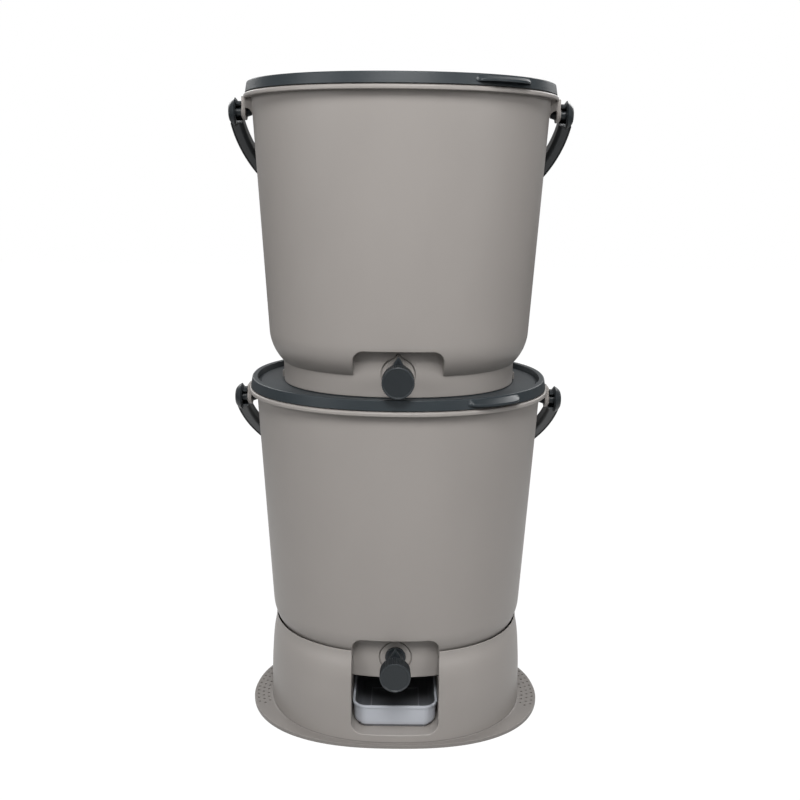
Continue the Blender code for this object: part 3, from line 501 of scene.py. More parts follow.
def mouldedPlastic(name, look, **changes):
    # a satin moulded skin: fine grain, slow blots from the mould's flow, faint rub marks,
    # and painted shade or painted highlight where the piece's painted-light share says so
    look = {**look, **changes}
    net = Net(bpy.data.materials.new(name))
    grain = net.noise(look["grain"], 2.0)
    pebble = net.noise(look["grain"] * pebbles[0], 2.0)
    seen = {kind: net.noise(*noise).between(low, high) for kind, (*noise, low, high) in patterns.items()}
    pale, dark = [shade(look["colour"], 1 + way * look["blots"]) for way in (1, -1)]
    colour = net.mixed(dark, pale, seen["blots"])
    colour = net.mixed(colour, shade(look["colour"], look["speckShade"]), seen["specks"] * look["specks"])
    wearAndPaintedLight = seen["scuffs"] * seen["rubs"] * look["scuffs"]
    colour = net.mixed(colour, shade(look["colour"], look["scuffShade"]), wearAndPaintedLight)
    # painted light: the piece's share darkens it by its factor (painted shade) or lightens it (painted
    # highlight)
    if "masked" in look:
        mask = net.node("Attribute", {"attribute_name": "mask"}, {}, "Fac")
        factors = (look["masked"],) * 3
        paintedLightTone = net.node("VectorMath", {"operation": "MULTIPLY"}, {0: colour, 1: factors})
        colour = net.mixed(colour, paintedLightTone, mask)
    roughness = seen["blots"] * roughParts["blots"] + grain * roughParts["grain"]
    roughness += seen["scuffs"] * roughParts["scuffs"] + (look["rough"] + roughParts["all"])
    bumps = [(pebble, look["relief"] * pebbles[1]), (grain, look["relief"])]
    return net.finish(colour, roughness, bumps, Specular_IOR_Level=look["gloss"])


binLook = {
    "colour": (0.310, 0.288, 0.271),
    "rough": 0.46,
    "gloss": 0.42,
    "grain": 0.00042,
    "relief": 0.000016,
    "blots": 0.025,
    "specks": 0.10,
    "speckShade": 0.80,
    "scuffs": 0.35,
    "scuffShade": 1.16,
}

darkLook = {
    "colour": (0.0175, 0.0215, 0.0245),
    "rough": 0.40,
    "gloss": 0.36,
    "grain": 0.00036,
    "relief": 0.000020,
    "blots": 0.05,
    "specks": 0.25,
    "speckShade": 1.6,
    "scuffs": 0.45,
    "scuffShade": 2.2,
}

lidColour = (0.022, 0.029, 0.034)
strainerColour = (0.120, 0.122, 0.124)
rubberLook = {**darkLook, "colour": (0.014, 0.014, 0.015), "rough": 0.66, "relief": 0.00003, "gloss": 0.35}
trayLook = {**binLook, "colour": (0.47, 0.49, 0.53), "rough": 0.38, "specks": 0.04, "relief": 0.000008}

finishes = {
    "bucket": mouldedPlastic("bucketPlastic", binLook),
    # painted shade on the stand's flange, its fillet at the wall and its dimples
    "stand": mouldedPlastic("standPlastic", binLook, rough=0.48, masked=0.35),
    "lid": mouldedPlastic("lidPlastic", darkLook, colour=lidColour, rough=0.43, gloss=0.32),
    "handle": mouldedPlastic("handlePlastic", darkLook, rough=0.36),
    # painted highlight on the knob's face rim and pointer edges
    "knob": mouldedPlastic("knobPlastic", darkLook, relief=0.00004, masked=1.4),
    "barrel": mouldedPlastic("barrelPlastic", darkLook, rough=0.36),
    "nut": mouldedPlastic("nutPlastic", darkLook, rough=0.5),
    "strainer": mouldedPlastic("strainerPlastic", darkLook, colour=strainerColour, speckShade=1.2),
    "rubber": mouldedPlastic("sealRubber", rubberLook),
    # painted shade inside the tray
    "tray": mouldedPlastic("trayPlastic", trayLook, masked=0.26),
}


# Bucket. Heights are from the underside of its foot.

bucketSizes = {
    "height": 0.2889,
    "halfWidth": 0.1505,
    "depthShare": 0.901,
    "taper": 0.0616,
    "wallHeights": (0.085, 0.125, 0.165, 0.205, 0.245, 0.272),
    "squareness": 2.17,
    "wall": 0.0024,
    "bendHeight": 0.0535,
    "bendRadius": 0.0465,
    "bendSteps": 14,
    "footHeight": 0.0215,
    "footHalfWidth": 0.1212,
    "footHalfDepth": 0.1065,
    "footTaper": 0.02,
    "footWall": 0.0028,
    "footSoftness": 0.0012,
    "footStep": 0.002,
    "floor": 0.0026,
    "coreTop": 0.060,
    "collarReach": 0.0075,
    "collarWall": 0.0022,
    "collarFillet": 0.0011,
    "beadHeight": 0.0043,
    "beadWall": 0.002,
    "beadSoftness": 0.0019,
    "lipInset": 0.0044,
    "lipWall": 0.002,
    "lipHeight": 0.006,
    "recessHalfWidth": 0.0437,
    "recessTop": 0.047,
    "recessRadius": 0.0105,
    "recessBack": -0.0725,
    "recessSoftness": 0.0013,
    "padRadius": 0.017,
    "padPoint": 0.0208,
    "padPointSpread": 20,
    "padPointFall": 1.4,
    "padTurn": 3,
    "padFace": 0.1053,
    "padSoftness": 0.0003,
    "padGroove": 0.0015,
    "padGrooveDepth": 0.0016,
    "tapWall": 0.0042,
    "bossRadius": 0.018,
    "holeRadius": 0.0083,
    "tapHeight": 0.0234,
    "lug": (0.0026, 0.004, 0.0006, 0.0076),
}

lowerBase = 0.0641
upperBase = 0.3593
rimHalfWidth = bucketSizes["halfWidth"] + bucketSizes["collarReach"]
rimLess = bucketSizes["halfWidth"] * (1 - bucketSizes["depthShare"])
footLess = bucketSizes["footHalfWidth"] - bucketSizes["footHalfDepth"]
lipOut = rimHalfWidth - bucketSizes["lipInset"]
lipIn = lipOut - bucketSizes["lipWall"]
lipTop = bucketSizes["height"] + bucketSizes["lipHeight"]


def wallHalfWidth(height):
    size = bucketSizes
    return size["halfWidth"] - size["taper"] * (size["height"] - height)


def bucketShape(radius, height):
    size = bucketSizes
    wall = wallHalfWidth(min(height, size["height"]))
    return wall * (1 - size["depthShare"]), size["squareness"]


def footShape(radius, height):
    return footLess, bucketSizes["squareness"]


def rimShape(radius, height):
    return rimLess, bucketSizes["squareness"]


def bendRings(inside, lowest):
    # the wall's curve into the underside, from its low end up
    size = bucketSizes
    radius = size["bendRadius"] - inside
    last = math.asin((size["bendHeight"] - lowest) / radius)
    rings = []
    for step in range(size["bendSteps"] + 1):
        turn = last * (1 - step / size["bendSteps"])
        height = size["bendHeight"] - radius * math.sin(turn)
        inset = size["bendRadius"] - radius * math.cos(turn)
        rings.append((wallHalfWidth(height) - inset, height))
    return rings


def footRings(low, high, inset, softness=0):
    size = bucketSizes
    radius = size["footHalfWidth"] - inset
    rings = [(radius - softness + x, low + z) for x, z in arc((0, softness), softness, 270, 360, 5)]
    steps = [low + softness + size["footStep"], size["footHeight"], high]
    return rings * bool(softness) + [(radius + size["footTaper"] * z, z) for z in steps]


earSizes = {
    "face": 0.1606,
    "plate": 0.0036,
    "halfWidth": 0.011,
    "web": 0.0025,
    "top": 0.2879,
    "tail": 0.2762,
    "pivot": 0.2732,
    "room": 0.2846,
    "root": 0.1481,
    "arch": 0.0072,
    "archMiddle": 0.2695,
    "boss": 0.0065,
    "bossRise": 0.0012,
    "hole": 0.0043,
    "softness": 0.0006,
}


def makeEar(side):
    size = earSizes
    half = size["halfWidth"]
    inner = size["face"] - size["plate"]
    points = arc((0, size["tail"]), half, 180, 360, 24)
    points += [(half, size["top"]), (-half, size["top"])]
    outline = [(side * size["root"], y, z) for y, z in points]
    ear = pushed("ear", outline, (side * (size["face"] - size["root"]), 0, 0))
    rounded(ear, size["softness"], 2)
    room = half - size["web"]
    low = size["tail"] - half - overrun
    root = size["root"] - overrun
    carve(ear, block("room", (side * root, -room, low), (side * inner, room, size["room"])))
    arch = [(side * x, z) for x, z in arc((inner, size["archMiddle"]), size["arch"], 90, 180, 8)]
    arch += [(side * root, size["archMiddle"]), (side * root, low), (side * inner, low)]
    outline = [(x, -farOut / 2, z) for x, z in arch]
    carve(ear, pushed("arch", outline, (0, farOut, 0)))
    middle = (side * (inner + gap), 0, size["pivot"])
    bossEnd = side * (size["face"] + size["bossRise"])
    weldOn(ear, rounded(rod("boss", size["boss"], middle, (bossEnd, 0, size["pivot"])), gap, 2))
    pegEnds = [(side * x, 0, size["pivot"]) for x in (inner - overrun, size["face"] + overrun)]
    carve(ear, rod("pegHole", size["hole"], *pegEnds))
    return ear


def padOutline():
    size = bucketSizes
    points = []
    for degrees in range(0, 360, size["padTurn"]):
        turn = math.radians(90 + degrees)
        away = min(degrees, 360 - degrees) / size["padPointSpread"]
        reach = size["padRadius"]
        reach += (size["padPoint"] - size["padRadius"]) * max(0, 1 - away) ** size["padPointFall"]
        out = (math.cos(turn), math.sin(turn))
        points.append((reach * out[0], size["tapHeight"] + reach * out[1], *out))
    return points


def bucketRings():
    # its outside, from the foot's top up the wall, round the collar and over the lip
    size = bucketSizes
    rim = size["height"]
    edge = rimHalfWidth
    under = rim - size["collarWall"]
    low = rim - size["beadHeight"]
    soft = size["beadSoftness"]
    fillet = size["collarFillet"]
    rings = [(size["footHalfWidth"], size["footHeight"])]
    rings += bendRings(0, size["footHeight"] + gap)
    rings += [(wallHalfWidth(z), z) for z in size["wallHeights"]]
    wall = wallHalfWidth(under - fillet)
    rings += arc((wall + fillet, under - fillet), fillet, 180, 90, 8)
    rings += [(edge - size["beadWall"], under), (edge - size["beadWall"], low + gap)]
    rings += arc((edge - soft / 2, low + soft / 2), soft / 2, 270, 360, 4)
    rings += arc((edge - soft, rim - soft), soft, 0, 90, 7)
    rings += [(lipOut + gap, rim), (lipOut, rim + gap)]
    rings += arc((lipOut - gap, lipTop - gap), gap, 0, 90, 3)
    return rings + arc((lipIn + gap, lipTop - gap), gap, 90, 180, 3)[:2]


def recessOutline(grown=0):
    size = bucketSizes
    return archOutline(
        size["recessHalfWidth"] + grown,
        size["footHeight"] - overrun,
        size["recessTop"] + grown,
        size["recessRadius"] + grown,
    )


def makeFoot():
    size = bucketSizes
    foot = ringStack("foot", footRings(0, size["coreTop"], 0, size["footSoftness"]))
    return makeOval(foot, footShape)


def makeLug(side):
    size = bucketSizes
    reach, halfLug, low, top = size["lug"]
    start = side * (size["footHalfWidth"] - size["footWall"] / 2)
    end = side * (size["footHalfWidth"] + reach)
    return rounded(block("lug", (start, -halfLug, low), (end, halfLug, top)), 2 * gap, 2)


def carvePad(bucket):
    # the tap's flat pad, and the groove round it
    size = bucketSizes
    carve(bucket, softTool("pad", padOutline(), size["padSoftness"], bucket, -size["padFace"]))
    end = size["padGrooveDepth"] - size["padFace"]
    tools = []
    for inset, over in ((0, 0), (size["padGroove"], overrun)):
        start = -farOut - over
        points = [(x - inset * outX, start, z - inset * outZ) for x, z, outX, outZ in padOutline()]
        tools.append(pushed("groove", points, (0, end + over - start, 0)))
    groove, core = tools
    carve(bucket, carve(groove, core))


def makeHollow():
    # the room inside: the walls and the floor are what it leaves
    size = bucketSizes
    wall = size["wall"]
    rings = bendRings(wall, size["footHeight"] + wall)
    rings += [(wallHalfWidth(z) - wall, z) for z in (*size["wallHeights"][::2], size["height"])]
    rings += [(lipIn, size["height"] + gap), (lipIn, lipTop + overrun)]
    hollow = makeOval(ringStack("hollow", rings), bucketShape)
    points = [(x, -farOut, z) for x, z, outX, outZ in recessOutline(wall)]
    carve(hollow, pushed("recessWall", points, (0, farOut + size["recessBack"], 0)))
    sump = ringStack("sump", footRings(size["floor"], size["coreTop"], size["footWall"], 2 * gap))
    weldOn(hollow, makeOval(sump, footShape))
    ends = [(0, y - size["padFace"], size["tapHeight"]) for y in (0, size["tapWall"])]
    return carve(hollow, rod("boss", size["bossRadius"], *ends, 64))


def makeBucket():
    size = bucketSizes
    bucket = makeOval(ringStack("lowerBucketBody", bucketRings()), bucketShape)
    lowest = size["footHeight"] + 2 * gap
    soft = size["recessSoftness"]
    carve(bucket, softTool("recess", recessOutline(), soft, bucket, size["recessBack"], lowest))
    weldOn(bucket, makeFoot())
    for side in (-1, 1):
        weldOn(bucket, makeLug(side), makeEar(side))
    carvePad(bucket)
    carve(bucket, makeHollow())
    start = -size["padFace"] - overrun
    end = size["tapWall"] - size["padFace"] + overrun
    ends = [(0, y, size["tapHeight"]) for y in (start, end)]
    return carve(bucket, rod("tapHole", size["holeRadius"], *ends, 64))


# Lid. Heights are from the rim line, insets from the outside of the collar.

lidSizes = {
    "lift": 0.001,
    "height": 0.0112,
    "topInset": 0.0032,
    "footInset": 0.0016,
    "softness": 0.0011,
    "wall": 0.0023,
    "ring": 0.0056,
    "step": 0.0008,
    "groove": 0.002,
    "grooveHeight": 0.005,
    "panel": 0.006,
    "sealTop": 0.0088,
    "skirt": 0.0067,
    "tabTurn": -51,
    "tabReach": 0.0092,
    "tabHalfLength": 0.030,
    "tabSteps": 40,
    "tabFall": (4, 1.3),
    "tabLow": 0.0032,
    "tabEdge": 0.0050,
    "tabRoot": 0.0086,
    "tabWall": 0.0012,
    "tabDepth": 0.0019,
    "tabSoftness": 0.0003,
}


def rimEdge(turn, inset):
    squareness = bucketSizes["squareness"]
    across = abs(math.cos(turn) / (rimHalfWidth - inset)) ** squareness
    along = abs(math.sin(turn) / (rimHalfWidth - rimLess - inset)) ** squareness
    return (across + along) ** (-1 / squareness)


def makeTab(name, inward):
    # a crescent ledge with a sloped top, which fades into the lid's side at both ends
    size = lidSizes
    flat, fall = size["tabFall"]
    low = size["lift"] + size["tabLow"] - inward
    base = size["lift"] + gap - inward
    rows = []
    for step in range(size["tabSteps"] + 1):
        share = 2 * step / size["tabSteps"] - 1
        along = share * size["tabHalfLength"]
        turn = math.radians(size["tabTurn"]) + along / (rimHalfWidth - rimLess)
        face = rimEdge(turn, size["footInset"])
        bulge = size["tabReach"] * (1 - abs(share) ** flat) ** fall
        out = face + bulge - size["wall"] / 4 - inward
        root = face - size["tabDepth"] - gap * bool(inward)
        section = [(root, low), (out, low), (out, base + size["tabEdge"]), (root, base + size["tabRoot"])]
        rows.append([(reach * math.cos(turn), reach * math.sin(turn), z) for reach, z in section])
    return skin(name, rows)


def makeLid():
    size = lidSizes
    edge = rimHalfWidth
    top = size["height"]
    soft = size["softness"]
    ringIn = edge - size["topInset"] - size["ring"]
    grooveOut = ringIn - size["step"]
    grooveIn = grooveOut - size["groove"]
    room = lipOut + gap
    low = size["lift"]
    rings = [(grooveIn - size["step"], size["panel"])]
    rings += [(grooveIn, size["grooveHeight"]), (grooveOut, size["grooveHeight"])]
    rings += arc((ringIn + soft / 2, top - soft / 2), soft / 2, 170, 90, 4)
    rings += arc((edge - size["topInset"] - soft, top - soft), soft, 90, 5, 6)
    rings += [(edge - size["footInset"], low + gap), (edge - size["footInset"] - gap, low)]
    rings += [(room, low), (room, size["sealTop"]), (edge - size["skirt"], size["sealTop"])]
    rings += [(edge - size["skirt"], low), (ringIn, low)]
    rings += [(grooveOut, size["panel"] - size["wall"])]
    lid = makeOval(ringStack("lowerLidBody", rings), rimShape)
    tab = rounded(makeTab("tab", 0), size["tabSoftness"], 3, 50)
    carve(tab, makeTab("tabHollow", size["tabWall"]))
    return weldOn(lid, tab)


# Handle. It is drawn hanging straight down from its pivot, then leans back on the bucket.

handleSizes = {
    "lean": 48.6007,
    "reach": 0.190,
    "halfWidth": 0.1747,
    "width": 0.0126,
    "depth": 0.012,
    "wall": 0.0023,
    "rim": 0.0010,
    "rimRise": 0.0006,
    "rimSlope": ((1.3, 0.2), (2.2, 0)),  # out and up, in outer softnesses
    "floorShares": (0.35, 0.5),
    "outerSoftness": 0.0005,
    "innerSoftness": 0.0042,
    "steps": 160,
    "lobe": 0.0142,
    "lobeCorners": 96,
    "lobePlate": 0.0032,
    "lobeDome": 0.0067,
    "lobeRim": 0.0027,
    "ring": 0.0108,
    "ringWall": 0.0018,
    "mouth": 112,
    "boss": 0.0048,
    "peg": 0.004,
    "pegHead": 0.005,
    "pegTip": 0.0032,
    "pegEnd": 0.1515,
    "split": 0.0016,
}
# how far out on the lobe, and how far its face has fallen back there
domeShares = [(0, 0), (0.20, 0.003), (0.42, 0.02), (0.60, 0.12), (0.73, 0.30), (0.87, 0.60), (1, 1)]
domeRings = (0.06, 0.15, 0.25, 0.35, 0.45, 0.54, 0.62, 0.70, 0.77, 0.83, 0.88, 0.92, 0.955, 0.98)


def channelSection():
    # across the bow: x runs inward from its outside, y from its front to its back
    size = handleSizes
    half = size["depth"] / 2
    wide = size["width"]
    sharp = size["outerSoftness"]
    soft = size["innerSoftness"]
    rim = size["rim"]
    floor = size["rimRise"] - half
    wall = size["wall"]
    points = [(0, half)]
    points += arc((sharp, sharp - half), sharp, 180, 270, 4)
    points += arc((rim, sharp - half), sharp, 270, 345, 3)
    points += [(rim + sharp * out, floor + sharp * up) for out, up in size["rimSlope"]]
    points += [(wide * share, floor) for share in size["floorShares"]]
    points += arc((wide - soft, floor + soft), soft, 270, 360, 9)
    points += [(wide, half), (wide - wall, half), (wide - wall, floor + soft)]
    points += arc((wide - soft, floor + soft), soft - wall, 0, -90, 5)[1:]
    points += [(wall, floor + wall), (wall, half)]
    return points


def makeBow():
    size = handleSizes
    start = math.asin(size["ring"] / size["reach"])
    rows = []
    for step in range(size["steps"] + 1):
        turn = start + (math.pi - 2 * start) * step / size["steps"]
        across = math.cos(turn)
        down = math.sin(turn)
        inward = Vector((-across / size["halfWidth"], 0, down / size["reach"])).normalized()
        outside = Vector((size["halfWidth"] * across, 0, -size["reach"] * down))
        rows.append([outside + inward * deep + Vector((0, y, 0)) for deep, y in channelSection()])
    return skin("lowerHandleBody", rows)


def makeLobe(side):
    # a domed button on a ring, which is open to the front, with a split peg
    size = handleSizes
    face = size["halfWidth"] + gap
    back = face - size["lobePlate"]
    bossEnd = earSizes["face"] + earSizes["bossRise"] + gap
    headStart = earSizes["face"] - earSizes["plate"] - gap
    hollow = size["ring"] - size["ringWall"]
    edge = size["lobe"]
    rim = face - size["lobeDome"]
    under = rim - size["lobeRim"]
    rings = []
    for out in domeRings:
        rings.append((edge * out, face - size["lobeDome"] * smoothShare(domeShares, out)))
    rings += [(edge, rim), (edge - gap / 2, rim - gap)]
    rings += [(size["ring"] + gap, under + gap / 2), (size["ring"], under)]
    rings += [(size["ring"], bossEnd + gap), (size["ring"] - gap, bossEnd)]
    rings += [(hollow, bossEnd), (hollow, back), (size["boss"], back), (size["boss"], bossEnd)]
    rings += [(size["peg"], bossEnd), (size["peg"], headStart), (size["pegHead"], headStart)]
    rings += [(size["pegTip"], size["pegEnd"])]
    lobe = ringStack("lobe", rings, size["lobeCorners"])
    turnTo(lobe, Matrix.Rotation(side * math.pi / 2, 4, "Y"))
    half = size["split"] / 2
    low = (side * (size["pegEnd"] - overrun), -half, -edge)
    high = (side * (bossEnd - earSizes["bossRise"]), half, edge)
    start = side * (bossEnd - overrun)
    wedge = [(start, y, z) for y, z in [(0, 0)] + arc((0, 0), 2 * edge, 90, 90 + size["mouth"], 12)]
    mouth = pushed("mouth", wedge, (side * (rim - size["lobeRim"] / 2) - start, 0, 0))
    coreEnds = [(start - side * overrun, 0, 0), (side * face, 0, 0)]
    carve(mouth, rod("core", hollow - gap, *coreEnds, size["lobeCorners"]))
    return carve(lobe, block("split", low, high), mouth)


def makeHandle():
    handle = weldOn(makeBow(), makeLobe(-1), makeLobe(1))
    return turnTo(handle, Matrix.Rotation(math.radians(handleSizes["lean"]), 4, "X"))


# Tap. It is drawn along +Z and then pointed forward.

tapSizes = {
    "front": 0.1525,
    "back": 0.132,
    "radius": 0.0155,
    "grip": 0.015,
    "neck": 0.0012,
    "neckRadius": 0.0112,
    "softness": 0.0013,
    "faceRim": 0.0016,
    "faceSink": 0.0005,
    "bore": 0.0083,
    "faceWall": 0.0027,
    "ribs": 48,
    "ribRows": 6,
    "ribDepth": 0.0007,
    "shoulder": 0.0016,
    "pointerTip": 0.0222,
    "pointerBase": 0.0097,
    "pointerHalf": 0.0076,
    "pointerThick": 0.0034,
    "pointerSink": 0.0012,
    "pointerWall": 0.0013,
    "pointerBlunt": 0.0004,
    "pointerSinkEnd": 2.2,  # walls short of the tip
    "stem": 0.008,
    "stemBore": 0.005,
    "stemCap": 0.0025,
    "seat": 0.1056,
    "seatRadius": 0.0105,
    "seatThick": 0.0024,
    "tail": 0.0896,
    "outlet": 0.003,
    "outletSetback": 0.0095,
    "oRing": 0.00065,
    "oRingSetback": 0.004,
}


def forward(piece):
    turnTo(piece, Matrix.Rotation(math.pi / 2, 4, "X"))
    return lifted(piece, bucketSizes["tapHeight"])


def makePointer(low, side):
    size = tapSizes
    tip = size["pointerTip"]
    base = size["pointerBase"]
    half = size["pointerHalf"]
    blunt = size["pointerBlunt"]
    outline = [(-half, base), (half, base), (blunt, tip), (-blunt, tip)]
    pointer = pushed("pointer", [(x, y, low) for x, y in outline], (0, 0, size["pointerThick"]))
    rounded(pointer, gap, 2)
    inner = tip - size["pointerWall"] * size["pointerSinkEnd"]
    halfIn = (half - size["pointerWall"]) * (inner - side) / (tip - base)
    sink = [(-halfIn, side - 4 * gap), (halfIn, side - 4 * gap), (0, inner)]
    floor = low + size["pointerThick"] - size["pointerSink"]
    points = [(x, y, floor) for x, y in sink]
    return carve(pointer, pushed("sink", points, (0, 0, 2 * size["pointerSink"])))


def makeKnob():
    size = tapSizes
    soft = size["softness"]
    front = size["front"]
    back = size["back"]
    side = size["radius"]
    face = side - size["faceRim"]
    step = front - size["grip"]
    neck = size["neckRadius"]
    neckTop = back + size["neck"]
    rings = [(face - 2 * gap, front - size["faceSink"]), (face, front)]
    rings += arc((side - soft, front - soft), soft, 90, 0, 5)
    low = step + size["shoulder"]
    for row in range(1, size["ribRows"]):
        rings.append((side, front - soft - (front - soft - low) * row / size["ribRows"]))
    rings += [(side, low + gap), (side - gap, low)]
    rings += [(side - gap, step + 2 * gap), (side - 2 * gap, step)]
    rings += [(neck + gap, neckTop + gap), (neck, neckTop - gap), (neck, back + gap), (neck - gap, back)]
    rings += [(size["bore"], back), (size["bore"], front - size["faceWall"])]
    knob = ringStack("lowerKnobBody", rings, 6 * size["ribs"])
    for corner in knob.data.vertices:
        reach = math.hypot(corner.co.x, corner.co.y)
        if reach > side - soft and low + weld < corner.co.z < front - soft / 4:
            turn = math.atan2(corner.co.y, corner.co.x)
            grow = 1 - size["ribDepth"] / side * (1 - math.cos(size["ribs"] * turn)) / 2
            corner.co.x *= grow
            corner.co.y *= grow

    low = back + gap
    high = low + size["pointerThick"]
    weldOn(knob, makePointer(low, side))
    outletAt = back + size["outletSetback"]
    carve(knob, rod("port", size["outlet"], (0, 0, outletAt), (side + overrun, 0, outletAt), 32))

    def wearAndPaintedLight(corner):
        # painted highlight: paler on the face's rim and on the pointer's edges
        reach = math.hypot(corner.co.x, corner.co.y)
        onRim = corner.co.z > front - soft and reach > face - gap
        onPointer = reach > side and abs(corner.co.z - high) < gap
        return float(onRim or onPointer)

    return forward(masked(knob, wearAndPaintedLight))


def makeBarrel():
    size = tapSizes
    stem = size["stem"]
    front = size["front"] - size["faceWall"] - gap
    groove = size["back"] + size["oRingSetback"]
    ringHalf = size["oRing"] + gap
    deep = stem - 2 * size["oRing"]
    rings = [(stem - 2 * gap, front), (stem, front - 2 * gap), (stem, groove + ringHalf)]
    rings += [(deep, groove + ringHalf), (deep, groove - ringHalf), (stem, groove - ringHalf)]
    rings += [(stem, size["seat"] + size["seatThick"])]
    soft = 2 * gap
    corner = (size["seatRadius"] - soft, size["seat"] + size["seatThick"] - soft)
    rings += arc(corner, soft, 90, 0, 3)
    rings += [(size["seatRadius"], size["seat"]), (stem, size["seat"]), (stem, size["tail"])]
    rings += [(size["stemBore"], size["tail"]), (size["stemBore"], front - size["stemCap"])]
    barrel = ringStack("lowerBarrelBody", rings, 64)
    outletAt = size["back"] + size["outletSetback"]
    carve(barrel, rod("outlet", size["outlet"], (0, 0, outletAt), (0, -stem - overrun, outletAt), 32))
    return forward(barrel)


# Stand

standSizes = {
    "flangeHalfWidth": 0.1587,
    "flangeHalfDepth": 0.1344,
    "flangeSquareness": 2.46,
    "flangeThick": 0.004,
    "flangeSoftness": 0.0011,
    "fillet": 0.0016,
    "halfWidth": 0.1383,
    "halfDepth": 0.131,
    "squareness": 2.3,
    "top": 0.0974,
    "lipHalfWidth": 0.1330,
    "lipHalfDepth": 0.11966,
    "lipEdge": 0.0008,
    "lipDrop": 0.012,
    "wall": 0.0024,
    "wallSteps": 30,
    "underSteps": 12,
    "pocketSteps": 6,
    "shelf": 0.0638,
    "shelfThick": 0.0025,
    "shelfUnderlap": 0.0125,
    "bayHalfWidth": 0.0444,
    "bayFloor": 0.013,
    "bayRadius": 0.011,
    "bayBack": 0.0078,
    "baySoftness": 0.0012,
    "fadeStart": 0.034,
    "fadeLength": 0.103,
    "leastShare": 0.12,
    "dimpleRows": (0.0044, 0.0100, 0.0156),
    "dimplePitch": 0.0084,
    "dimplesFrom": -0.057,
    "dimplesTo": 0.040,
    "dimpleWalk": 900,
    "walksPerRadian": 1000,
    "dimpleRadius": 0.0015,
    "dimpleFlare": 0.4,
    "dimpleDepth": 0.0021,
    # how much painted shade the flange's top and the fillet at the wall get
    "flangeShade": 0.42,
    "cornerShade": 0.55,
}
# how far up the wall, and how far in towards the lip its side has come
standCurveShares = [(0, 0), (0.42, 0.06), (0.63, 0.25), (0.74, 0.38), (0.835, 0.58), (0.94, 0.93), (1, 1)]


def standDrawn(height):
    size = standSizes
    return smoothShare(standCurveShares, (height - size["flangeThick"]) / (size["top"] - size["flangeThick"]))


def standRadius(height, inset=0):
    size = standSizes
    return size["halfWidth"] + (size["lipHalfWidth"] - size["halfWidth"]) * standDrawn(height) - inset


def standShape(radius, height):
    size = standSizes
    wallLess = size["halfWidth"] - size["halfDepth"]
    if radius > size["halfWidth"] and height < size["flangeThick"] + size["fillet"]:
        share = (radius - size["halfWidth"]) / (size["flangeHalfWidth"] - size["halfWidth"])
        flangeLess = size["flangeHalfWidth"] - size["flangeHalfDepth"]
        less = wallLess + (flangeLess - wallLess) * share
        return less, size["squareness"] + (size["flangeSquareness"] - size["squareness"]) * share
    drawn = standDrawn(height)
    less = wallLess + (size["lipHalfWidth"] - size["lipHalfDepth"] - wallLess) * drawn
    return less, size["squareness"] + (bucketSizes["squareness"] - size["squareness"]) * drawn


def flangeKept(y):
    # the flange fades towards the wall behind the middle
    size = standSizes
    faded = max(0, y + size["fadeStart"]) / size["fadeLength"]
    return max(size["leastShare"], 1 - faded**2)


def flangeEnds(turn):
    # the wall and the flange's edge at a turn
    size = standSizes
    ends = []
    for radius in (size["halfWidth"], size["flangeHalfWidth"]):
        less, squareness = standShape(radius + weld, size["flangeThick"])
        across = squared(math.cos(turn), squareness)
        ends.append(Vector((radius * across, (radius - less) * squared(math.sin(turn), squareness))))
    wall, edge = ends
    return wall, wall.lerp(edge, flangeKept(edge.y))


def makeDimples():
    size = standSizes
    cones = []
    for row, inset in enumerate(size["dimpleRows"]):
        walked = size["dimplePitch"] / 2 * (row % 2)
        before = None
        for step in range(-size["dimpleWalk"], size["dimpleWalk"]):
            wall, edge = flangeEnds(step / size["walksPerRadian"])
            if edge.y < size["dimplesFrom"] or edge.y > size["dimplesTo"]:
                continue
            place = edge + (wall - edge).normalized() * inset
            walked += (place - before).length if before else 0
            before = place
            room = (wall - edge).length - inset
            needed = size["fillet"] * flangeKept(edge.y) + size["dimpleRadius"]
            if walked < size["dimplePitch"] or room < needed:
                continue
            walked = 0
            for side in (-1, 1):
                pick(None)
                bpy.ops.mesh.primitive_cone_add(
                    vertices=16,
                    radius1=size["dimpleRadius"] * (1 - size["dimpleFlare"]),
                    radius2=size["dimpleRadius"] * (1 + size["dimpleFlare"]),
                    depth=2 * size["dimpleDepth"],
                    location=(side * place.x, place.y, size["flangeThick"]),
                )
                cones.append(named("dimple"))
    pick(cones[0])
    for cone in cones:
        cone.select_set(True)
    bpy.ops.object.join()
    return cones[0]


def levels(low, high, steps):
    return [low + (high - low) * step / steps for step in range(steps + 1)]


def standBody():
    # its outside, with the flange drawn in towards the wall behind
    size = standSizes
    top = size["top"]
    flat = size["flangeThick"]
    soft = size["flangeSoftness"]
    edge = size["flangeHalfWidth"]
    fillet = size["fillet"]
    lipSoft = 1.5 * gap
    rings = arc((edge - soft / 2, soft / 2), soft / 2, 270, 360, 3)
    rings += arc((edge - soft, flat - soft), soft, 0, 90, 5)
    rings += arc((size["halfWidth"] + fillet, flat + fillet), fillet, 270, 180, 8)
    heights = levels(flat + fillet, top, size["wallSteps"])[1:-1]
    rings += [(standRadius(z), z) for z in heights]
    rings += arc((standRadius(top) - lipSoft, top - lipSoft), lipSoft, 0, 90, 4)
    stand = ringStack("standBody", rings)
    rounds = [(corner.co.xy.length, math.atan2(corner.co.y, corner.co.x)) for corner in stand.data.vertices]
    makeOval(stand, standShape)
    for corner, (radius, turn) in zip(stand.data.vertices, rounds):
        if radius > size["halfWidth"] + weld and corner.co.z < flat + fillet - weld:
            wall = flangeEnds(turn)[0].to_3d() + Vector((0, 0, corner.co.z))
            corner.co = wall.lerp(corner.co, flangeKept(corner.co.y))
    return stand


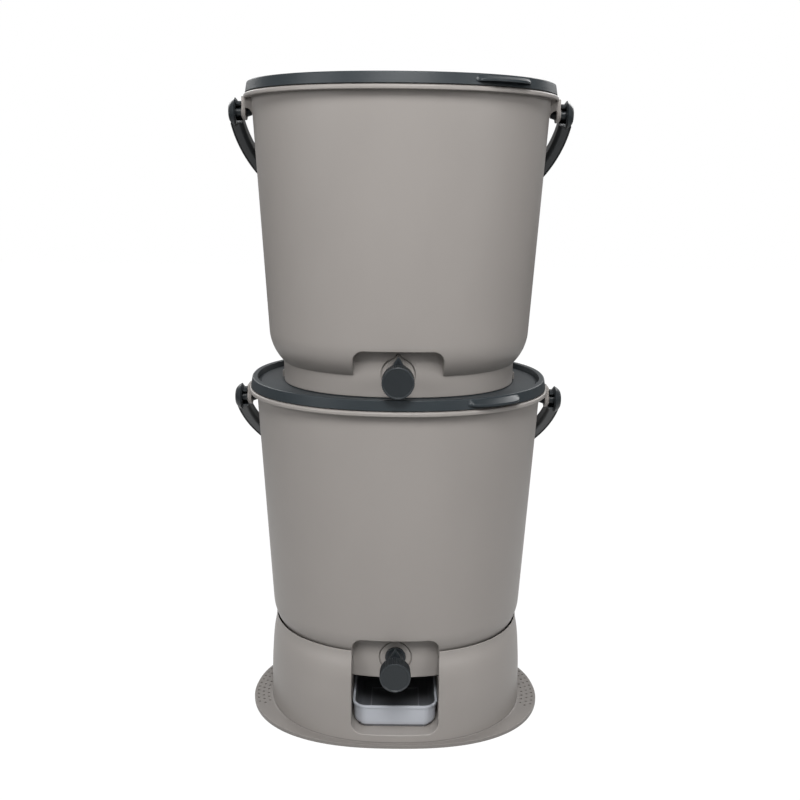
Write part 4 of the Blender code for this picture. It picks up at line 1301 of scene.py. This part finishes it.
def standRoom():
    # what the wall, the shelf and the bay's walls leave inside
    size = standSizes
    top = size["top"]
    wall = size["wall"]
    shelfLow = size["shelf"] - size["shelfThick"]
    heights = [-overrun] + levels(size["flangeThick"], shelfLow, size["underSteps"])
    room = ringStack("underShelf", [(standRadius(z, wall), z) for z in heights])
    makeOval(room, standShape)
    heights = levels(size["shelf"], top - size["lipDrop"], size["pocketSteps"])
    rings = [(standRadius(z, wall), z) for z in heights]
    rings += [(standRadius(top, size["lipEdge"]), z) for z in (top, top + overrun)]
    pocket = makeOval(ringStack("aboveShelf", rings), standShape)
    radius = bucketSizes["footHalfWidth"] - size["shelfUnderlap"]
    hole = ringStack("shelfHole", [(radius, shelfLow - overrun), (radius, size["shelf"] + overrun)])
    weldOn(room, pocket, makeOval(hole, footShape))
    outline = archOutline(
        size["bayHalfWidth"] + wall,
        size["shelf"] - size["shelfThick"] / 2,
        size["bayFloor"] - wall,
        size["bayRadius"] + wall,
    )
    points = [(x, -farOut, z) for x, z, outX, outZ in outline]
    return carve(room, pushed("bayWall", points, (0, farOut + size["bayBack"] + wall, 0)))


def makeStand():
    size = standSizes
    top = size["top"]
    flat = size["flangeThick"]
    stand = standBody()
    outline = archOutline(size["bayHalfWidth"], top + overrun, size["bayFloor"], size["bayRadius"])
    bay = softTool("bay", outline, size["baySoftness"], stand, size["bayBack"], -1, top - 2 * gap)
    carve(stand, standRoom(), bay, makeDimples())

    def wearAndPaintedLight(corner):
        # painted shade: the flange is a little darker, the fillet where it meets the wall more, and its
        # dimples most
        height = corner.co.z
        if size["flangeSoftness"] < height < flat - size["dimpleDepth"] + gap and height < flat - gap:
            return 1.0
        if flat + gap < height < flat + size["fillet"] - gap:
            return size["cornerShade"]
        return size["flangeShade"] * (height < flat + gap)

    return masked(stand, wearAndPaintedLight)


# Juice tray. Rings are given as insets from its outside.

traySizes = {
    "base": 0.0133,
    "halfWidth": 0.0438,
    "front": -0.117,
    "back": 0.0075,
    "corner": 0.015,
    "height": 0.0243,
    "wall": 0.0016,
    "lip": 0.0009,
    "lipHeight": 0.0028,
    "draft": 0.0006,
    "edge": 0.0082,
    "frontShare": 0.65,
    "softness": 0.0005,
    "pad": 0.052,
    "padFrame": 0.0012,
    # the share of the tray's painted shade left on the pad's frame
    "padFrameShade": 0.7,
    "padFront": -0.0885,
    "padRise": 0.0012,
}


def makeTray():
    size = traySizes
    corner = size["corner"]
    edge = size["edge"]
    low = size["lip"] + size["draft"]
    top = size["height"]
    soft = size["softness"]
    lipLow = top - size["lipHeight"]
    inner = size["lip"] + size["wall"]
    rings = [(low + x, z) for x, z in arc((edge, edge), edge, 270, 180, 8)]
    rings += [(size["lip"], lipLow - gap), (size["lip"] - gap, lipLow)]
    rings += arc((soft, lipLow + soft), soft, 270, 180, 3)
    rings += arc((soft, top - soft), soft, 180, 90, 4)
    rings += arc((inner - soft, top - soft), soft, 90, 0, 4)
    rings += [(low + x, z) for x, z in arc((edge, edge), edge - size["wall"], 180, 270, 8)]
    tray = ringStack("trayBody", [(corner - inset, z) for inset, z in rings], 96)
    for vertex in tray.data.vertices:
        right = vertex.co.x > -weld
        rear = vertex.co.y > -weld
        # the front stays upright further down than the sides
        turned = max(0, -vertex.co.y) / math.hypot(vertex.co.x, vertex.co.y)
        drop = max(0, edge - vertex.co.z)
        vertex.co.y -= size["frontShare"] * turned**2 * (edge - math.sqrt(edge**2 - drop**2))
        vertex.co.x += (size["halfWidth"] - corner) * (1 if right else -1)
        vertex.co.y += size["back"] - corner if rear else size["front"] + corner
    half = size["pad"] / 2
    start = (-half, size["padFront"], size["wall"] / 2)
    end = (half, size["padFront"] + size["pad"], size["wall"] + size["padRise"])
    frame = size["padFrame"]
    pad = block("trayPad", start, end)
    sunk = (start[0] + frame, start[1] + frame, end[2] - 2 * gap)
    carve(pad, block("padTop", sunk, (end[0] - frame, end[1] - frame, end[2] + overrun)))
    weldOn(tray, pad)

    def inside(corner):
        # painted shade inside the tray: below the rim, and clear of the outer wall. The pad's frame has less
        # of it, so it is lighter.
        onPad = abs(corner.co.x) < half + gap and abs(corner.co.y - start[1] - half) < half + gap
        if onPad and corner.co.z > end[2] - gap:
            return size["padFrameShade"]
        bend = size["corner"]
        across = max(0, abs(corner.co.x) - size["halfWidth"] + bend)
        along = max(0, size["front"] + bend - corner.co.y, corner.co.y - size["back"] + bend)
        deep = bend - math.hypot(across, along)
        return float(deep > inner - soft / 2 and size["wall"] / 2 < corner.co.z < top - soft / 2)

    masked(tray, inside)
    return lifted(tray, size["base"])


# The nodes that keep their own shape


def paintNodes():
    kinds = {"seal": "rubber", "o_ring": "rubber", "washer": "rubber", "nut": "nut", "strainer": "strainer"}
    for name, node in frame["nodes"].items():
        for kind, finish in kinds.items():
            if kind in name:
                node.data.materials.clear()
                node.data.materials.append(finishes[finish])


# Floor and world


def seenRays(net, glossShare):
    # 1 for rays that show the background, from the camera and through glass, and less for gloss
    kinds = ("Camera", "Glossy", "Transmission")
    seen, gloss, glass = [net.node("LightPath", {}, {}, "Is %s Ray" % kind) for kind in kinds]
    return seen.maths("MAXIMUM", seen.maths("MAXIMUM", seen, gloss * glossShare), glass)


def addFloor():
    size = stageSizes
    pick(None)
    bpy.ops.mesh.primitive_plane_add(size=2 * size["floor"])
    floor = named("floor")
    net = Net(bpy.data.materials.new("floorPaint"))
    blot, depth = size["floorGrain"]
    net.finish(size["floorColour"], size["floorRough"], [(net.noise(blot), depth)])
    white = net.node("Emission", {}, {"Color": (1.0, 1.0, 1.0), "Strength": size["floorGlow"]})
    painted = Wire(net, net.tree.nodes["Principled BSDF"].outputs["BSDF"])
    away = net.node("VectorMath", {"operation": "LENGTH"}, {0: net.place()}, "Value")
    near = 1 - away.between(*size["floorNear"])
    share = seenRays(net, near * size["floorGloss"]) * size["floorWhite"]
    both = net.node("MixShader", {}, {0: share, 1: painted, 2: white})
    net.feed(net.tree.nodes["Material Output"].inputs["Surface"], both)
    floor.data.materials.append(net.owner)


def addWorld():
    world = bpy.data.worlds.new("room")
    bpy.context.scene.world = world
    net = Net(world)
    background = net.tree.nodes["Background"]
    seen = seenRays(net, stageSizes["worldGloss"])
    strength = net.node("MapRange", {}, {"Value": seen, "To Min": stageSizes["world"]})
    net.feed(background.inputs["Color"], (1.0, 1.0, 1.0))
    net.feed(background.inputs["Strength"], strength)


bpy.context.scene.view_settings.view_transform = "Standard"
addCamera()
addLamps()
addWorld()
addFloor()
print("stage ready")
finished(makeStand(), "stand", finishes["stand"], ["stand"])
finished(makeTray(), "tray", finishes["tray"], ["juice_tray"])
print("stand and tray ready")
stacked(makeBucket(), "BucketBody", 0, "bin", "bucket", "bucket")
print("buckets ready")
stacked(makeLid(), "LidBody", bucketSizes["height"], "lid", "lid", "lid")
print("lids ready")
stacked(makeHandle(), "HandleBody", earSizes["pivot"], "handle", "handle", "handle")
print("handles ready")
stacked(makeKnob(), "KnobBody", 0, "knob", "tap_knob", "knob")
stacked(makeBarrel(), "BarrelBody", 0, "bin", "tap_barrel", "barrel")
print("taps ready")
paintNodes()
print("inner pieces painted")
